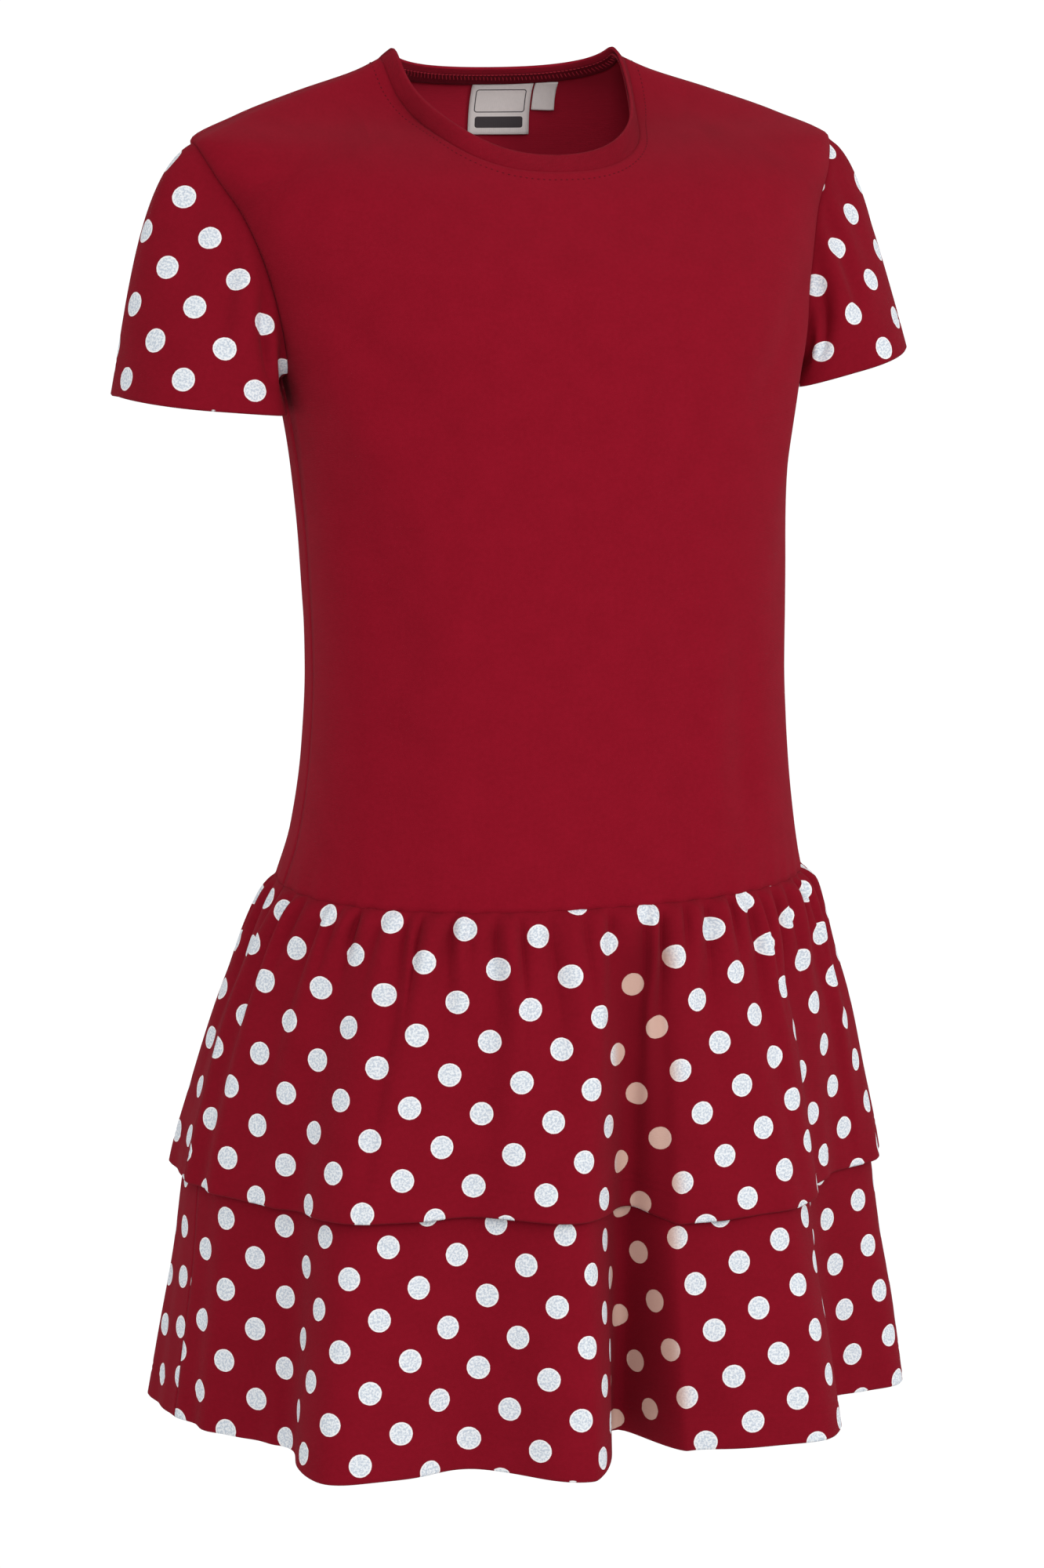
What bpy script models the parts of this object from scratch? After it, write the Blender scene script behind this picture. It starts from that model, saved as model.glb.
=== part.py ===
# Girl's dress with a plain jersey bodice, short set-in sleeves, a narrow rib neck
# and two gathered ruffles sewn into one dropped seam. It keeps the hollow form of
# a worn dress: every piece of cloth is a thin wall, open at neck, cuffs and hem.
# Metres, +Z up, front towards -Y. The origin lies between the two points where
# the neck meets the shoulders, and drops are measured down from it.

import math
from typing import NamedTuple

import bmesh
import bpy
import numpy as np
from mathutils import Vector

for old in list(bpy.data.objects):
    bpy.data.objects.remove(old, do_unlink=True)
collection = bpy.data.collections.new("ruffled_dress")
bpy.context.scene.collection.children.link(collection)

CLOTH = 0.0012
RIB = 0.0018
SEAM_GAP = 0.0003
HIP_SEAM_THICKNESS = 0.0030

HIP_DROP = 0.4195
UNDERARM_DROP = 0.161
SHOULDER_TIP_DROP = 0.045
NECK_POINT_DROP = 0.0045
NECK_POINT_Y = 0.064
NECK_HALF_WIDTH = 0.0665
NECK_SQUARENESS = 2.5
FRONT_NECK_DROP = 0.0572
BACK_NECK_DROP = 0.018
ROUNDNESS = 2.3

HALF_COLUMNS = 13
PANEL_COLUMNS = 2 * HALF_COLUMNS
NECK_COLUMNS = 7
NECK_SHARE = NECK_COLUMNS / HALF_COLUMNS
NECK_CROWDING = 1.3
SPREAD_START = 0.60
BODY_ROWS = 8
ARMHOLE_ROWS = 10
ARMHOLE_ROW_EVENNESS = 0.4
ARMHOLE_HOLLOW = 0.024
ARMHOLE_FULLNESS = 0.8
ARMHOLE_FLATTENING = 0.6
ARMHOLE_TILT = 0.32

BAND_WIDTH = 0.0098
BAND_RISE = math.radians(47)
BAND_STEEPENING = math.radians(31)
BAND_SWELL = 0.0006
NECK_MIDDLE_Y = 0.035
NECK_HALF_DEPTH = 0.059

CUFF_HALF_DEPTH = 0.0450
CUFF_INNER_SQUARENESS = 5.0
CUFF_OUTER_SQUARENESS = 2.1
CUFF_SKEW = 0.0030
CUFF_BACK_DIP = 0.0030
SLEEVE_ROWS = 8
SLEEVE_SEAM_HOLD = 0.5

UPPER_RUFFLE_LENGTH = 0.155
LOWER_RUFFLE_LENGTH = 0.280
UPPER_COLUMNS = 120
LOWER_COLUMNS = 100
GATHER_HEIGHT = 0.0019
GATHER_PEAK = 0.014
GATHER_VALLEY = -0.6
GATHER_FOLD_SHARES = ((0.25, 2.4), (0.15, 0.9))
FOLD_GROWTH = 1.15
HEM_DIP_POWER = 2
SQUARE_FADE_DROP = 0.05
EVEN_COLUMN_SHARE = 0.65
EDGE_SAMPLES = 1441

UP = np.array([0.0, 0.0, 1.0])
BACKWARDS = np.array([0.0, 1.0, 0.0])

LABEL_THICKNESS = 0.0008
LABEL_TOP_DROP = 0.0195
LABEL_POINTS = 4

SHARP_ANGLE = math.radians(50)


class Section(NamedTuple):
    """One level of the bodice: half width, side line and depths from it."""
    drop: float
    half_width: float
    side_y: float
    front: float
    back: float


BODICE = (
    Section(0.0045, 0.0665, NECK_POINT_Y, 0.008, 0.012),
    Section(0.0100, 0.0785, 0.061, 0.010, 0.021),
    Section(0.0205, 0.1120, 0.056, 0.014, 0.036),
    Section(0.0325, 0.1470, 0.049, 0.024, 0.048),
    Section(0.0450, 0.1725, 0.041, 0.048, 0.058),
    Section(0.0580, 0.1693, 0.036, 0.066, 0.065),
    Section(0.0800, 0.1590, 0.030, 0.083, 0.073),
    Section(0.1100, 0.1500, 0.021, 0.097, 0.082),
    Section(0.1400, 0.1425, 0.011, 0.099, 0.089),
    Section(0.1650, 0.1360, 0.004, 0.096, 0.091),
    Section(0.2080, 0.1300, -0.003, 0.092, 0.091),
    Section(0.2500, 0.1272, -0.008, 0.088, 0.088),
    Section(0.3090, 0.1255, -0.012, 0.087, 0.085),
    Section(0.3510, 0.1275, -0.013, 0.088, 0.087),
    Section(0.3920, 0.1325, -0.011, 0.0925, 0.089),
    Section(0.4195, 0.1387, -0.006, 0.098, 0.090),
)


class SkirtSection(NamedTuple):
    """One level of the skirt, measured down from the hip seam."""
    drop: float
    half_width: float
    side_y: float
    front: float
    back: float
    upper_ease: float


SKIRT = (
    SkirtSection(0.000, 0.1370, -0.006, 0.0963, 0.0883, 0.0017),
    SkirtSection(0.004, 0.1381, -0.006, 0.0968, 0.0890, 0.0037),
    SkirtSection(0.012, 0.1408, -0.005, 0.0980, 0.0910, 0.0052),
    SkirtSection(0.032, 0.1490, -0.003, 0.1035, 0.0970, 0.0062),
    SkirtSection(0.072, 0.1642, 0.000, 0.1110, 0.1050, 0.0062),
    SkirtSection(0.112, 0.1749, 0.004, 0.1175, 0.1115, 0.0062),
    SkirtSection(0.152, 0.1840, 0.006, 0.1235, 0.1170, 0.0062),
    SkirtSection(0.200, 0.1895, 0.004, 0.1290, 0.1225, 0.0062),
    SkirtSection(0.240, 0.1960, 0.002, 0.1335, 0.1270, 0.0062),
    SkirtSection(0.280, 0.2015, 0.002, 0.1380, 0.1305, 0.0062),
)


class Fold(NamedTuple):
    """A ridge or valley of the skirt: its angle from the front, and at the hem its
    rise, its lean to the wearer's left and how low each ruffle's hem dips there."""
    angle: float
    rise: float
    lean: float
    upper_dip: float
    lower_dip: float


FOLDS = (
    Fold(-112, 0.006, 0.000, 0.000, 0.001),
    Fold(-82, -0.010, 0.000, 0.000, 0.000),
    Fold(-59, -0.022, 0.000, 0.001, 0.001),
    Fold(-41, 0.023, -0.006, -0.002, 0.002),
    Fold(-22, -0.004, 0.000, -0.003, 0.001),
    Fold(-7, 0.018, 0.006, -0.001, 0.003),
    Fold(5, -0.045, 0.000, 0.002, 0.000),
    Fold(12, -0.001, -0.003, 0.008, 0.000),
    Fold(29, 0.025, 0.006, 0.006, -0.001),
    Fold(50, -0.020, 0.000, 0.005, 0.003),
    Fold(72, 0.008, 0.000, 0.005, 0.004),
    Fold(96, -0.013, 0.000, 0.002, 0.002),
    Fold(117, 0.014, 0.003, 0.000, 0.000),
    Fold(137, -0.018, 0.000, 0.002, 0.002),
    Fold(158, 0.013, -0.002, 0.000, 0.001),
    Fold(178, -0.022, 0.000, 0.002, 0.003),
    Fold(199, 0.014, 0.003, 0.001, 0.000),
    Fold(222, -0.014, 0.000, 0.002, 0.002),
)


class Ruffle(NamedTuple):
    """One gathered tier: its length, columns, rows above the hem and whether it lies on top."""
    name: str
    length: float
    columns: int
    drops: tuple
    on_top: bool


RUFFLES = (
    Ruffle("upper_ruffle", UPPER_RUFFLE_LENGTH, UPPER_COLUMNS,
           (0.0, 0.004, 0.010, 0.019, 0.032, 0.050, 0.076, 0.104, 0.131), True),
    Ruffle("lower_ruffle", LOWER_RUFFLE_LENGTH, LOWER_COLUMNS,
           (0.0, 0.012, 0.050, 0.100, 0.152, 0.186, 0.218, 0.249), False),
)


class SleeveGuide(NamedTuple):
    """How far the sleeve swells from its armhole on its way to the cuff."""
    angle: float
    out: float
    forward: float
    rise: float


SLEEVE_GUIDES = (
    SleeveGuide(0, 0.0190, 0.000, -0.012),
    SleeveGuide(90, 0.0150, 0.014, -0.016),
    SleeveGuide(180, 0.0085, 0.000, 0.002),
    SleeveGuide(270, 0.0150, -0.014, -0.016),
)


class Sleeve(NamedTuple):
    """One sleeve: its side of the body, its cuff's middle, half width and tilt, and its extra swell."""
    name: str
    side: int
    cuff_x: float
    cuff_y: float
    cuff_drop: float
    cuff_half_width: float
    cuff_tilt: float
    extra_swell: float


SLEEVES = (
    Sleeve("sleeve_right", -1, 0.1780, 0.024, 0.1730, 0.0395, 0.0040, 0.0095),
    Sleeve("sleeve_left", 1, 0.1740, 0.024, 0.1620, 0.0370, 0.0090, 0.0000),
)


class Label(NamedTuple):
    """A bare sewn-in label: its left edge, width and length."""
    name: str
    left: float
    width: float
    length: float


LABELS = (
    Label("label_main", -0.0072, 0.0335, 0.0262),
    Label("label_size", 0.0274, 0.0122, 0.0132),
)


class Finish(NamedTuple):
    """Colour and gloss of one kind of cloth."""
    name: str
    colour: tuple
    roughness: float


RED_JERSEY = Finish("red_jersey", (0.235, 0.006, 0.014), 0.85)
DOTTED_JERSEY = Finish("dotted_jersey", (0.225, 0.006, 0.013), 0.85)
RED_RIB = Finish("red_rib", (0.215, 0.006, 0.013), 0.88)
LABEL_WHITE = Finish("label_white", (0.70, 0.66, 0.66), 0.60)


def along(rows, column, drops):
    """Value of a table's column at the drops, by a curve with no overshoot."""
    xs = np.array([row.drop for row in rows])
    ys = np.array([getattr(row, column) for row in rows])
    steps = np.diff(xs)
    slopes = np.diff(ys) / steps
    tangents = np.zeros(len(xs))
    tangents[0] = slopes[0]
    tangents[-1] = slopes[-1]
    for i in range(1, len(xs) - 1):
        if slopes[i - 1] * slopes[i] > 0:
            before = 2 * steps[i] + steps[i - 1]
            after = steps[i] + 2 * steps[i - 1]
            tangents[i] = (before + after) / (before / slopes[i - 1] + after / slopes[i])
    where = np.clip(np.asarray(drops, float), xs[0], xs[-1])
    k = np.clip(np.searchsorted(xs, where) - 1, 0, len(steps) - 1)
    t = (where - xs[k]) / steps[k]
    rise = ys[k + 1] - ys[k]
    start = tangents[k] * steps[k]
    end = tangents[k + 1] * steps[k]
    return ys[k] + t * start + t**2 * (3 * rise - 2 * start - end) + t**3 * (start + end - 2 * rise)


def unit(vectors):
    """Vectors scaled to length one."""
    return vectors / np.maximum(np.linalg.norm(vectors, axis=-1, keepdims=True), 1e-12)


def beside(loop, way, towards):
    """A loop moved by one seam gap off the edge that it shares with its neighbour."""
    tangent = np.roll(loop, -1, axis=0) - np.roll(loop, 1, axis=0)
    away = unit(np.cross(tangent, way))
    away *= np.sign(np.sum(away * towards, axis=1))[:, None]
    return loop + away * SEAM_GAP


def grid_normals(points, closed):
    """Outward directions of a grid whose rows run upwards and columns to the left."""
    if closed:
        across = np.roll(points, -1, axis=1) - np.roll(points, 1, axis=1)
    else:
        across = np.gradient(points, axis=1)
    along_rows = np.gradient(points, axis=0)
    return unit(np.cross(across, along_rows))


def smooth_step(t):
    """Ease from 0 to 1."""
    t = np.clip(t, 0.0, 1.0)
    return t * t * (3 - 2 * t)


# Bodice

def edge_half_width(drops):
    """Half width of a panel at its side seam and armhole."""
    share = np.clip((np.asarray(drops) - SHOULDER_TIP_DROP) / (UNDERARM_DROP - SHOULDER_TIP_DROP), 0, 1)
    hollow = ARMHOLE_HOLLOW * np.sin(math.pi * share) ** ARMHOLE_FULLNESS
    return along(BODICE, "half_width", drops) * (1 - hollow)


def panel_columns():
    """How many columns each column of a panel lies from its centre."""
    return np.abs(np.arange(PANEL_COLUMNS + 1) - HALF_COLUMNS)


def panel_levels():
    """Rows of a bodice panel as shares of the way from hip to shoulder tip."""
    underarm = (HIP_DROP - UNDERARM_DROP) / (HIP_DROP - SHOULDER_TIP_DROP)
    body = np.linspace(0, underarm, BODY_ROWS + 1)
    t = np.linspace(0, 1, ARMHOLE_ROWS + 1)[1:]
    crowded = np.sin(math.pi * t / 2)
    climb = ARMHOLE_ROW_EVENNESS * t + (1 - ARMHOLE_ROW_EVENNESS) * crowded
    armhole = underarm + (1 - underarm) * climb
    return np.concatenate([body, armhole])


def panel_top(u, neck_drop):
    """Top edge of a panel for u from 0 at the centre to 1 at the shoulder tip."""
    left = 1 - np.clip(u / NECK_SHARE, 0, 1)
    turn = (1 - left**NECK_CROWDING) * math.pi / 2
    power = 2 / NECK_SQUARENESS
    neck_x = NECK_HALF_WIDTH * np.sin(turn) ** power
    neck_z = NECK_POINT_DROP + (neck_drop - NECK_POINT_DROP) * np.cos(turn) ** power
    share = np.clip((u - NECK_SHARE) / (1 - NECK_SHARE), 0, 1)
    shoulder_z = NECK_POINT_DROP + (SHOULDER_TIP_DROP - NECK_POINT_DROP) * share
    shoulder_x = along(BODICE, "half_width", shoulder_z)
    on_neck = share <= 0
    return np.where(on_neck, neck_x, shoulder_x), np.where(on_neck, neck_z, shoulder_z)


def panel_grid(side, neck_drop):
    """Outer points of the front (side -1) or back (side +1) of the bodice."""
    v = panel_levels()[:, None]
    size = panel_columns()[None, :] / HALF_COLUMNS
    top_x, top_drop = panel_top(size, neck_drop)
    drop = HIP_DROP + v * (top_drop - HIP_DROP)
    edge = edge_half_width(HIP_DROP + v * (SHOULDER_TIP_DROP - HIP_DROP))
    tip = edge_half_width(SHOULDER_TIP_DROP)
    spread = np.clip((v - SPREAD_START) / (1 - SPREAD_START), 0, 1) ** 3
    ratio = (1 - spread) * np.sin(size * math.pi / 2) + spread * top_x / tip
    x = ratio * edge
    reach = np.clip(x / along(BODICE, "half_width", drop), 0, 1)
    depth = along(BODICE, "front" if side < 0 else "back", drop)
    y = along(BODICE, "side_y", drop) + side * depth * (1 - reach**ROUNDNESS) ** (1 / ROUNDNESS)
    sign = np.sign(np.arange(PANEL_COLUMNS + 1) - HALF_COLUMNS)[None, :]
    return np.stack([sign * x, y, -drop], axis=-1)


def armhole_directions(front_edge, back_edge, sign):
    """Wall directions round an armhole, shared by the bodice and the sleeve."""
    middle = (front_edge.mean(axis=0) + back_edge.mean(axis=0)) / 2
    directions = []
    for edge in (front_edge, back_edge):
        ray = edge - middle
        ray[:, 0] = 0
        ray[:, 2] *= ARMHOLE_FLATTENING
        ray = unit(ray)
        ray[:, 0] = sign * ARMHOLE_TILT * (1 + ray[:, 2])
        directions.append(unit(ray))
    both_ends = (directions[0][[0, -1]] + directions[1][[0, -1]]) / 2
    both_ends[:, 1] = 0
    for direction in directions:
        direction[[0, -1]] = unit(both_ends)
    return directions


def bodice_walls():
    """Points and wall directions of both panels, and each armhole's edges."""
    front = panel_grid(-1, FRONT_NECK_DROP)
    back = panel_grid(1, BACK_NECK_DROP)
    normals = {}
    for side, grid in ((-1, front), (1, back)):
        normal = grid_normals(grid, closed=False) * -side
        for column, sign in ((0, -1.0), (-1, 1.0)):
            rise = np.gradient(grid[:, column], axis=0)
            outward = np.cross(BACKWARDS, rise)
            outward *= np.sign(outward[:, :1]) * sign
            normal[:, column] = unit(outward)
        on_shoulder = panel_columns() >= NECK_COLUMNS
        ridge = np.gradient(grid[-1], axis=0)
        upward = np.cross(ridge, BACKWARDS)
        upward *= np.sign(upward[:, 2:])
        normal[-1, on_shoulder] = unit(upward[on_shoulder])
        normal[0, :, 2] = 0
        normal[0] = unit(normal[0])
        on_neck = panel_columns() <= NECK_COLUMNS
        normal[-1, on_neck] = unit(neck_rays(grid[-1, on_neck]) + UP)
        normals[side] = normal
    armholes = {}
    for column, sign in ((0, -1), (-1, 1)):
        front_edge = front[BODY_ROWS:, column]
        back_edge = back[BODY_ROWS:, column]
        front_way, back_way = armhole_directions(front_edge.copy(), back_edge.copy(), sign)
        normals[-1][BODY_ROWS:, column] = front_way
        normals[1][BODY_ROWS:, column] = back_way
        loop = np.concatenate([front_edge, back_edge[-2:0:-1]])
        loop_way = np.concatenate([front_way, back_way[-2:0:-1]])
        armholes[sign] = (loop, loop_way)
    return front, back, normals, armholes


def open_seams(grid, side):
    """The panel with its side and shoulder edges drawn back by half a seam gap."""
    grid = grid.copy()
    half = side * SEAM_GAP / 2
    grid[:BODY_ROWS + 1, 0, 1] += half
    grid[:BODY_ROWS + 1, -1, 1] += half
    on_shoulder = panel_columns() >= NECK_COLUMNS
    grid[-1, on_shoulder, 1] += half
    return grid


# Neck band

def neck_rays(loop):
    """Level directions out of the neck at points round it."""
    rays = np.zeros_like(loop)
    rays[:, 0] = loop[:, 0] / NECK_HALF_WIDTH**2
    rays[:, 1] = (loop[:, 1] - NECK_MIDDLE_Y) / NECK_HALF_DEPTH**2
    return unit(rays)


def neck_loop(front, back, normals):
    """Seam points of the neck, round from one shoulder by the front to the other and back."""
    on_neck = panel_columns() <= NECK_COLUMNS
    first = front[-1, on_neck]
    last = back[-1, on_neck][::-1]
    way = np.concatenate([normals[-1][-1, on_neck], normals[1][-1, on_neck][::-1][1:-1]])
    return np.concatenate([first, last[1:-1]]), way


def neck_band_grid(loop, way):
    """Rings of the band from its seam up to its free edge, and its wall directions."""
    rays = neck_rays(loop)
    forward = NECK_POINT_Y - loop[:, 1:2]
    share = np.clip(forward / forward.max(), 0, 1)
    rise = BAND_RISE + BAND_STEEPENING * np.sin(math.pi * share)
    climb = unit(UP * np.sin(rise) - rays * np.cos(rise))
    face = unit(rays * np.sin(rise) + UP * np.cos(rise))
    rings = [
        beside(loop, way, climb),
        loop + climb * BAND_WIDTH / 2 + face * BAND_SWELL,
        loop + climb * BAND_WIDTH,
    ]
    ways = [way, unit(way + 2 * face), face]
    return np.array(rings), np.array(ways)


# Sleeves

def share_at(angles, middle):
    """How much a sleeve guide at one angle counts at angles round the sleeve, in degrees."""
    offset = (angles - middle + 180) % 360 - 180
    return np.cos(np.radians(np.clip(offset, -90, 90))) ** 2


def around(angles, column):
    """Value of a sleeve guide's column at angles round the sleeve, in degrees."""
    return sum(getattr(row, column) * share_at(angles, row.angle) for row in SLEEVE_GUIDES)


def sleeve_grid(loop, loop_way, sleeve):
    """Rings of a sleeve from its armhole to its cuff, and its wall directions."""
    count = len(loop)
    half = count // 2
    angles = np.zeros(count)
    for first, last, start, end in ((0, half, 180.0, 0.0), (half, count, 360.0, 180.0)):
        index = np.arange(first, last + 1) % count
        reach = np.concatenate([[0], np.cumsum(np.linalg.norm(np.diff(loop[index], axis=0), axis=1))])
        angles[index[:-1]] = start + (end - start) * (reach / reach[-1])[:-1]
    turn = np.radians(angles)
    squarer = 2 / np.where(np.cos(turn) < 0, CUFF_INNER_SQUARENESS, CUFF_OUTER_SQUARENESS)
    across = np.sign(np.cos(turn)) * np.abs(np.cos(turn)) ** squarer
    forward = np.sign(np.sin(turn)) * np.abs(np.sin(turn)) ** squarer
    cuff = np.stack([
        sleeve.side * (sleeve.cuff_x + sleeve.cuff_half_width * across - CUFF_SKEW * forward),
        sleeve.cuff_y - CUFF_HALF_DEPTH * forward,
        -sleeve.cuff_drop + sleeve.cuff_tilt * across - CUFF_BACK_DIP * np.maximum(-forward, 0),
    ], axis=-1)
    guide = loop.copy()
    swell = around(angles, "out") + sleeve.extra_swell * share_at(angles, 0.0)
    guide[:, 0] += sleeve.side * swell
    guide[:, 1] -= around(angles, "forward")
    guide[:, 2] += around(angles, "rise")
    start = beside(loop, loop_way, guide - loop)
    rings = []
    for t in np.linspace(0, 1, SLEEVE_ROWS + 1):
        rings.append((1 - t)**2 * start + 2 * t * (1 - t) * guide + t**2 * cuff)
    rings = np.array(rings)
    ways = grid_normals(rings, closed=True)
    outward = np.sum(ways[-1] * (cuff - np.mean(cuff, axis=0)), axis=1).sum()
    ways *= np.sign(outward)
    ways[0] = loop_way
    ways[1] = unit(ways[1] + loop_way * SLEEVE_SEAM_HOLD)
    return rings, ways


# Ruffles

def fold_field(angles, column):
    """Value of a fold's column at angles round the skirt, in degrees."""
    first = FOLDS[0]
    rows = FOLDS + (first._replace(angle=first.angle + 360),)
    where = (np.asarray(angles) - first.angle) % 360 + first.angle
    value = np.zeros_like(where)
    for row, following in zip(rows[:-1], rows[1:]):
        share = (where - row.angle) / (following.angle - row.angle)
        inside = (share >= 0) & (share < 1)
        step = smooth_step(share)
        value = np.where(inside, getattr(row, column) * (1 - step) + getattr(following, column) * step, value)
    return value


def skirt_ring(angles, drop, ruffle):
    """Points of a ruffle at one drop below the hip seam."""
    turn = np.radians(angles)
    ease = along(SKIRT, "upper_ease", drop) if ruffle.on_top else 0.0
    half_width = along(SKIRT, "half_width", drop) + ease
    depth = np.where(np.cos(turn) > 0, along(SKIRT, "front", drop), along(SKIRT, "back", drop)) + ease
    squareness = ROUNDNESS + (2.0 - ROUNDNESS) * min(drop / SQUARE_FADE_DROP, 1.0)
    power = 2 / squareness
    x = half_width * np.sign(np.sin(turn)) * np.abs(np.sin(turn)) ** power
    y = along(SKIRT, "side_y", drop) - depth * np.sign(np.cos(turn)) * np.abs(np.cos(turn)) ** power
    growth = (drop / LOWER_RUFFLE_LENGTH) ** FOLD_GROWTH
    out = unit(np.stack([np.sin(turn) / half_width, -np.cos(turn) / depth], axis=-1))
    side = np.stack([-out[:, 1], out[:, 0]], axis=-1)
    move = out * fold_field(angles, "rise")[:, None] + side * fold_field(angles, "lean")[:, None]
    dip = fold_field(angles, "upper_dip" if ruffle.on_top else "lower_dip")
    level = -HIP_DROP - SEAM_GAP - drop - dip * (drop / ruffle.length) ** HEM_DIP_POWER
    return np.column_stack([x + growth * move[:, 0], y + growth * move[:, 1], level])


def skirt_columns(ruffle):
    """Angles of a ruffle's columns, from even steps round the body towards even steps along the hem."""
    columns = []
    for start, end in ((-90.0, 90.0), (90.0, 270.0)):
        fine = np.linspace(start, end, EDGE_SAMPLES)
        hem = skirt_ring(fine, ruffle.length, ruffle)
        reach = np.concatenate([[0], np.cumsum(np.linalg.norm(np.diff(hem, axis=0), axis=1))])
        even = np.interp(np.linspace(0, reach[-1], ruffle.columns // 2 + 1), reach, fine)
        plain = np.linspace(start, end, ruffle.columns // 2 + 1)
        columns.append((EVEN_COLUMN_SHARE * even + (1 - EVEN_COLUMN_SHARE) * plain)[:-1])
    return np.concatenate(columns)


def gather_wave(count):
    """Heights of the gathers at the columns of a ruffle: up and down, none quite like the next."""
    index = np.arange(count)
    unevenness = 1 + sum(share * np.sin(index * pace) for share, pace in GATHER_FOLD_SHARES)
    return np.where(index % 2 == 0, 1.0, GATHER_VALLEY) * unevenness


def ruffle_grid(ruffle):
    """Rings of a ruffle from the hip seam down to its hem, and its wall directions."""
    columns = skirt_columns(ruffle)
    drops = ruffle.drops + (ruffle.length,)
    rings = np.array([skirt_ring(columns, drop, ruffle) for drop in drops])
    if ruffle.on_top:
        smooth = grid_normals(rings[::-1], closed=True)[::-1]
        wave = gather_wave(ruffle.columns)
        for ring, way, drop in zip(rings, smooth, drops):
            height = GATHER_HEIGHT * (drop / GATHER_PEAK) * math.exp(1 - drop / GATHER_PEAK)
            ring += way * (height * wave)[:, None]
    ways = grid_normals(rings[::-1], closed=True)[::-1]
    ways[0, :, 2] = 0
    ways[0] = unit(ways[0])
    return rings, ways


def half_ring(rings, ways, start, count):
    """Columns of the front or back half, drawn back by half a seam gap at both side seams."""
    index = np.arange(start, start + count + 1) % rings.shape[1]
    points = rings[:, index].copy()
    for column, inner in ((0, 1), (-1, -2)):
        points[:, column] += unit(points[:, inner] - points[:, column]) * SEAM_GAP / 2
    return points, ways[:, index]


# Solids

def cloth_wall(name, outer, ways, thickness, closed, finish):
    """A closed wall between a grid of outer points and the points behind them."""
    rows, columns = outer.shape[:2]
    depth = np.broadcast_to(np.asarray(thickness, float), (rows, columns))[..., None]
    inner = outer - ways * depth
    shape = bmesh.new()
    faces = [[[shape.verts.new(Vector(point)) for point in row] for row in grid] for grid in (outer, inner)]
    spans = columns if closed else columns - 1

    def quad(a, b, c, d):
        shape.faces.new((a, b, c))
        shape.faces.new((a, c, d))

    for i in range(rows - 1):
        for j in range(spans):
            k = (j + 1) % columns
            quad(faces[0][i][j], faces[0][i][k], faces[0][i + 1][k], faces[0][i + 1][j])
            shape.faces.new((faces[1][i][j], faces[1][i + 1][k], faces[1][i][k]))
            shape.faces.new((faces[1][i][j], faces[1][i + 1][j], faces[1][i + 1][k]))
    for j in range(spans):
        k = (j + 1) % columns
        quad(faces[0][0][k], faces[0][0][j], faces[1][0][j], faces[1][0][k])
        quad(faces[0][-1][j], faces[0][-1][k], faces[1][-1][k], faces[1][-1][j])
    if not closed:
        for i in range(rows - 1):
            quad(faces[0][i][0], faces[0][i + 1][0], faces[1][i + 1][0], faces[1][i][0])
            quad(faces[0][i + 1][-1], faces[0][i][-1], faces[1][i][-1], faces[1][i + 1][-1])
    bmesh.ops.recalc_face_normals(shape, faces=shape.faces)
    mesh = bpy.data.meshes.new(name)
    shape.to_mesh(mesh)
    shape.free()
    mesh.shade_smooth()
    mesh.set_sharp_from_angle(angle=SHARP_ANGLE)
    mesh.materials.append(cloth_material(finish))
    piece = bpy.data.objects.new(name, mesh)
    collection.objects.link(piece)


def cloth_material(finish):
    """The Principled material of a finish, made once."""
    material = bpy.data.materials.get(finish.name)
    if material is None:
        material = bpy.data.materials.new(finish.name)
        material.use_nodes = True
        shader = material.node_tree.nodes["Principled BSDF"]
        shader.inputs["Base Color"].default_value = (*finish.colour, 1.0)
        shader.inputs["Roughness"].default_value = finish.roughness
        shader.inputs["Metallic"].default_value = 0.0
    return material


def back_surface(x, drop):
    """Outer point of the bodice's back at a place across and a drop."""
    reach = np.clip(np.abs(x) / along(BODICE, "half_width", drop), 0, 1)
    depth = along(BODICE, "back", drop)
    y = along(BODICE, "side_y", drop) + depth * (1 - reach**ROUNDNESS) ** (1 / ROUNDNESS)
    return np.stack([x, y, -drop], axis=-1)


def build_bodice():
    """Front, back, neck band, both sleeves and the labels inside the neck."""
    front, back, normals, armholes = bodice_walls()
    thickness = np.full((len(front), 1), CLOTH)
    thickness[0] = HIP_SEAM_THICKNESS
    for name, side, grid in (("bodice_front", -1, front), ("bodice_back", 1, back)):
        cloth_wall(name, open_seams(grid, side), normals[side], thickness, False, RED_JERSEY)
    rings, ways = neck_band_grid(*neck_loop(front, back, normals))
    cloth_wall("neck_band", rings, ways, RIB, True, RED_RIB)
    for sleeve in SLEEVES:
        rings, ways = sleeve_grid(*armholes[sleeve.side], sleeve)
        cloth_wall(sleeve.name, rings, ways, CLOTH, True, DOTTED_JERSEY)


def build_labels():
    """Two bare labels lying on the inner face of the back."""
    for label in LABELS:
        across = np.linspace(label.left, label.left + label.width, LABEL_POINTS)[None, :]
        down = np.linspace(LABEL_TOP_DROP, LABEL_TOP_DROP + label.length, LABEL_POINTS)[:, None]
        x, drop = np.broadcast_arrays(across, down)
        points = back_surface(x, drop)
        ways = grid_normals(points, closed=False)
        ways *= np.sign(ways[..., 1:2])
        behind = points - ways * (CLOTH + 2 * SEAM_GAP)
        cloth_wall(label.name, behind, ways, LABEL_THICKNESS, False, LABEL_WHITE)


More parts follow.
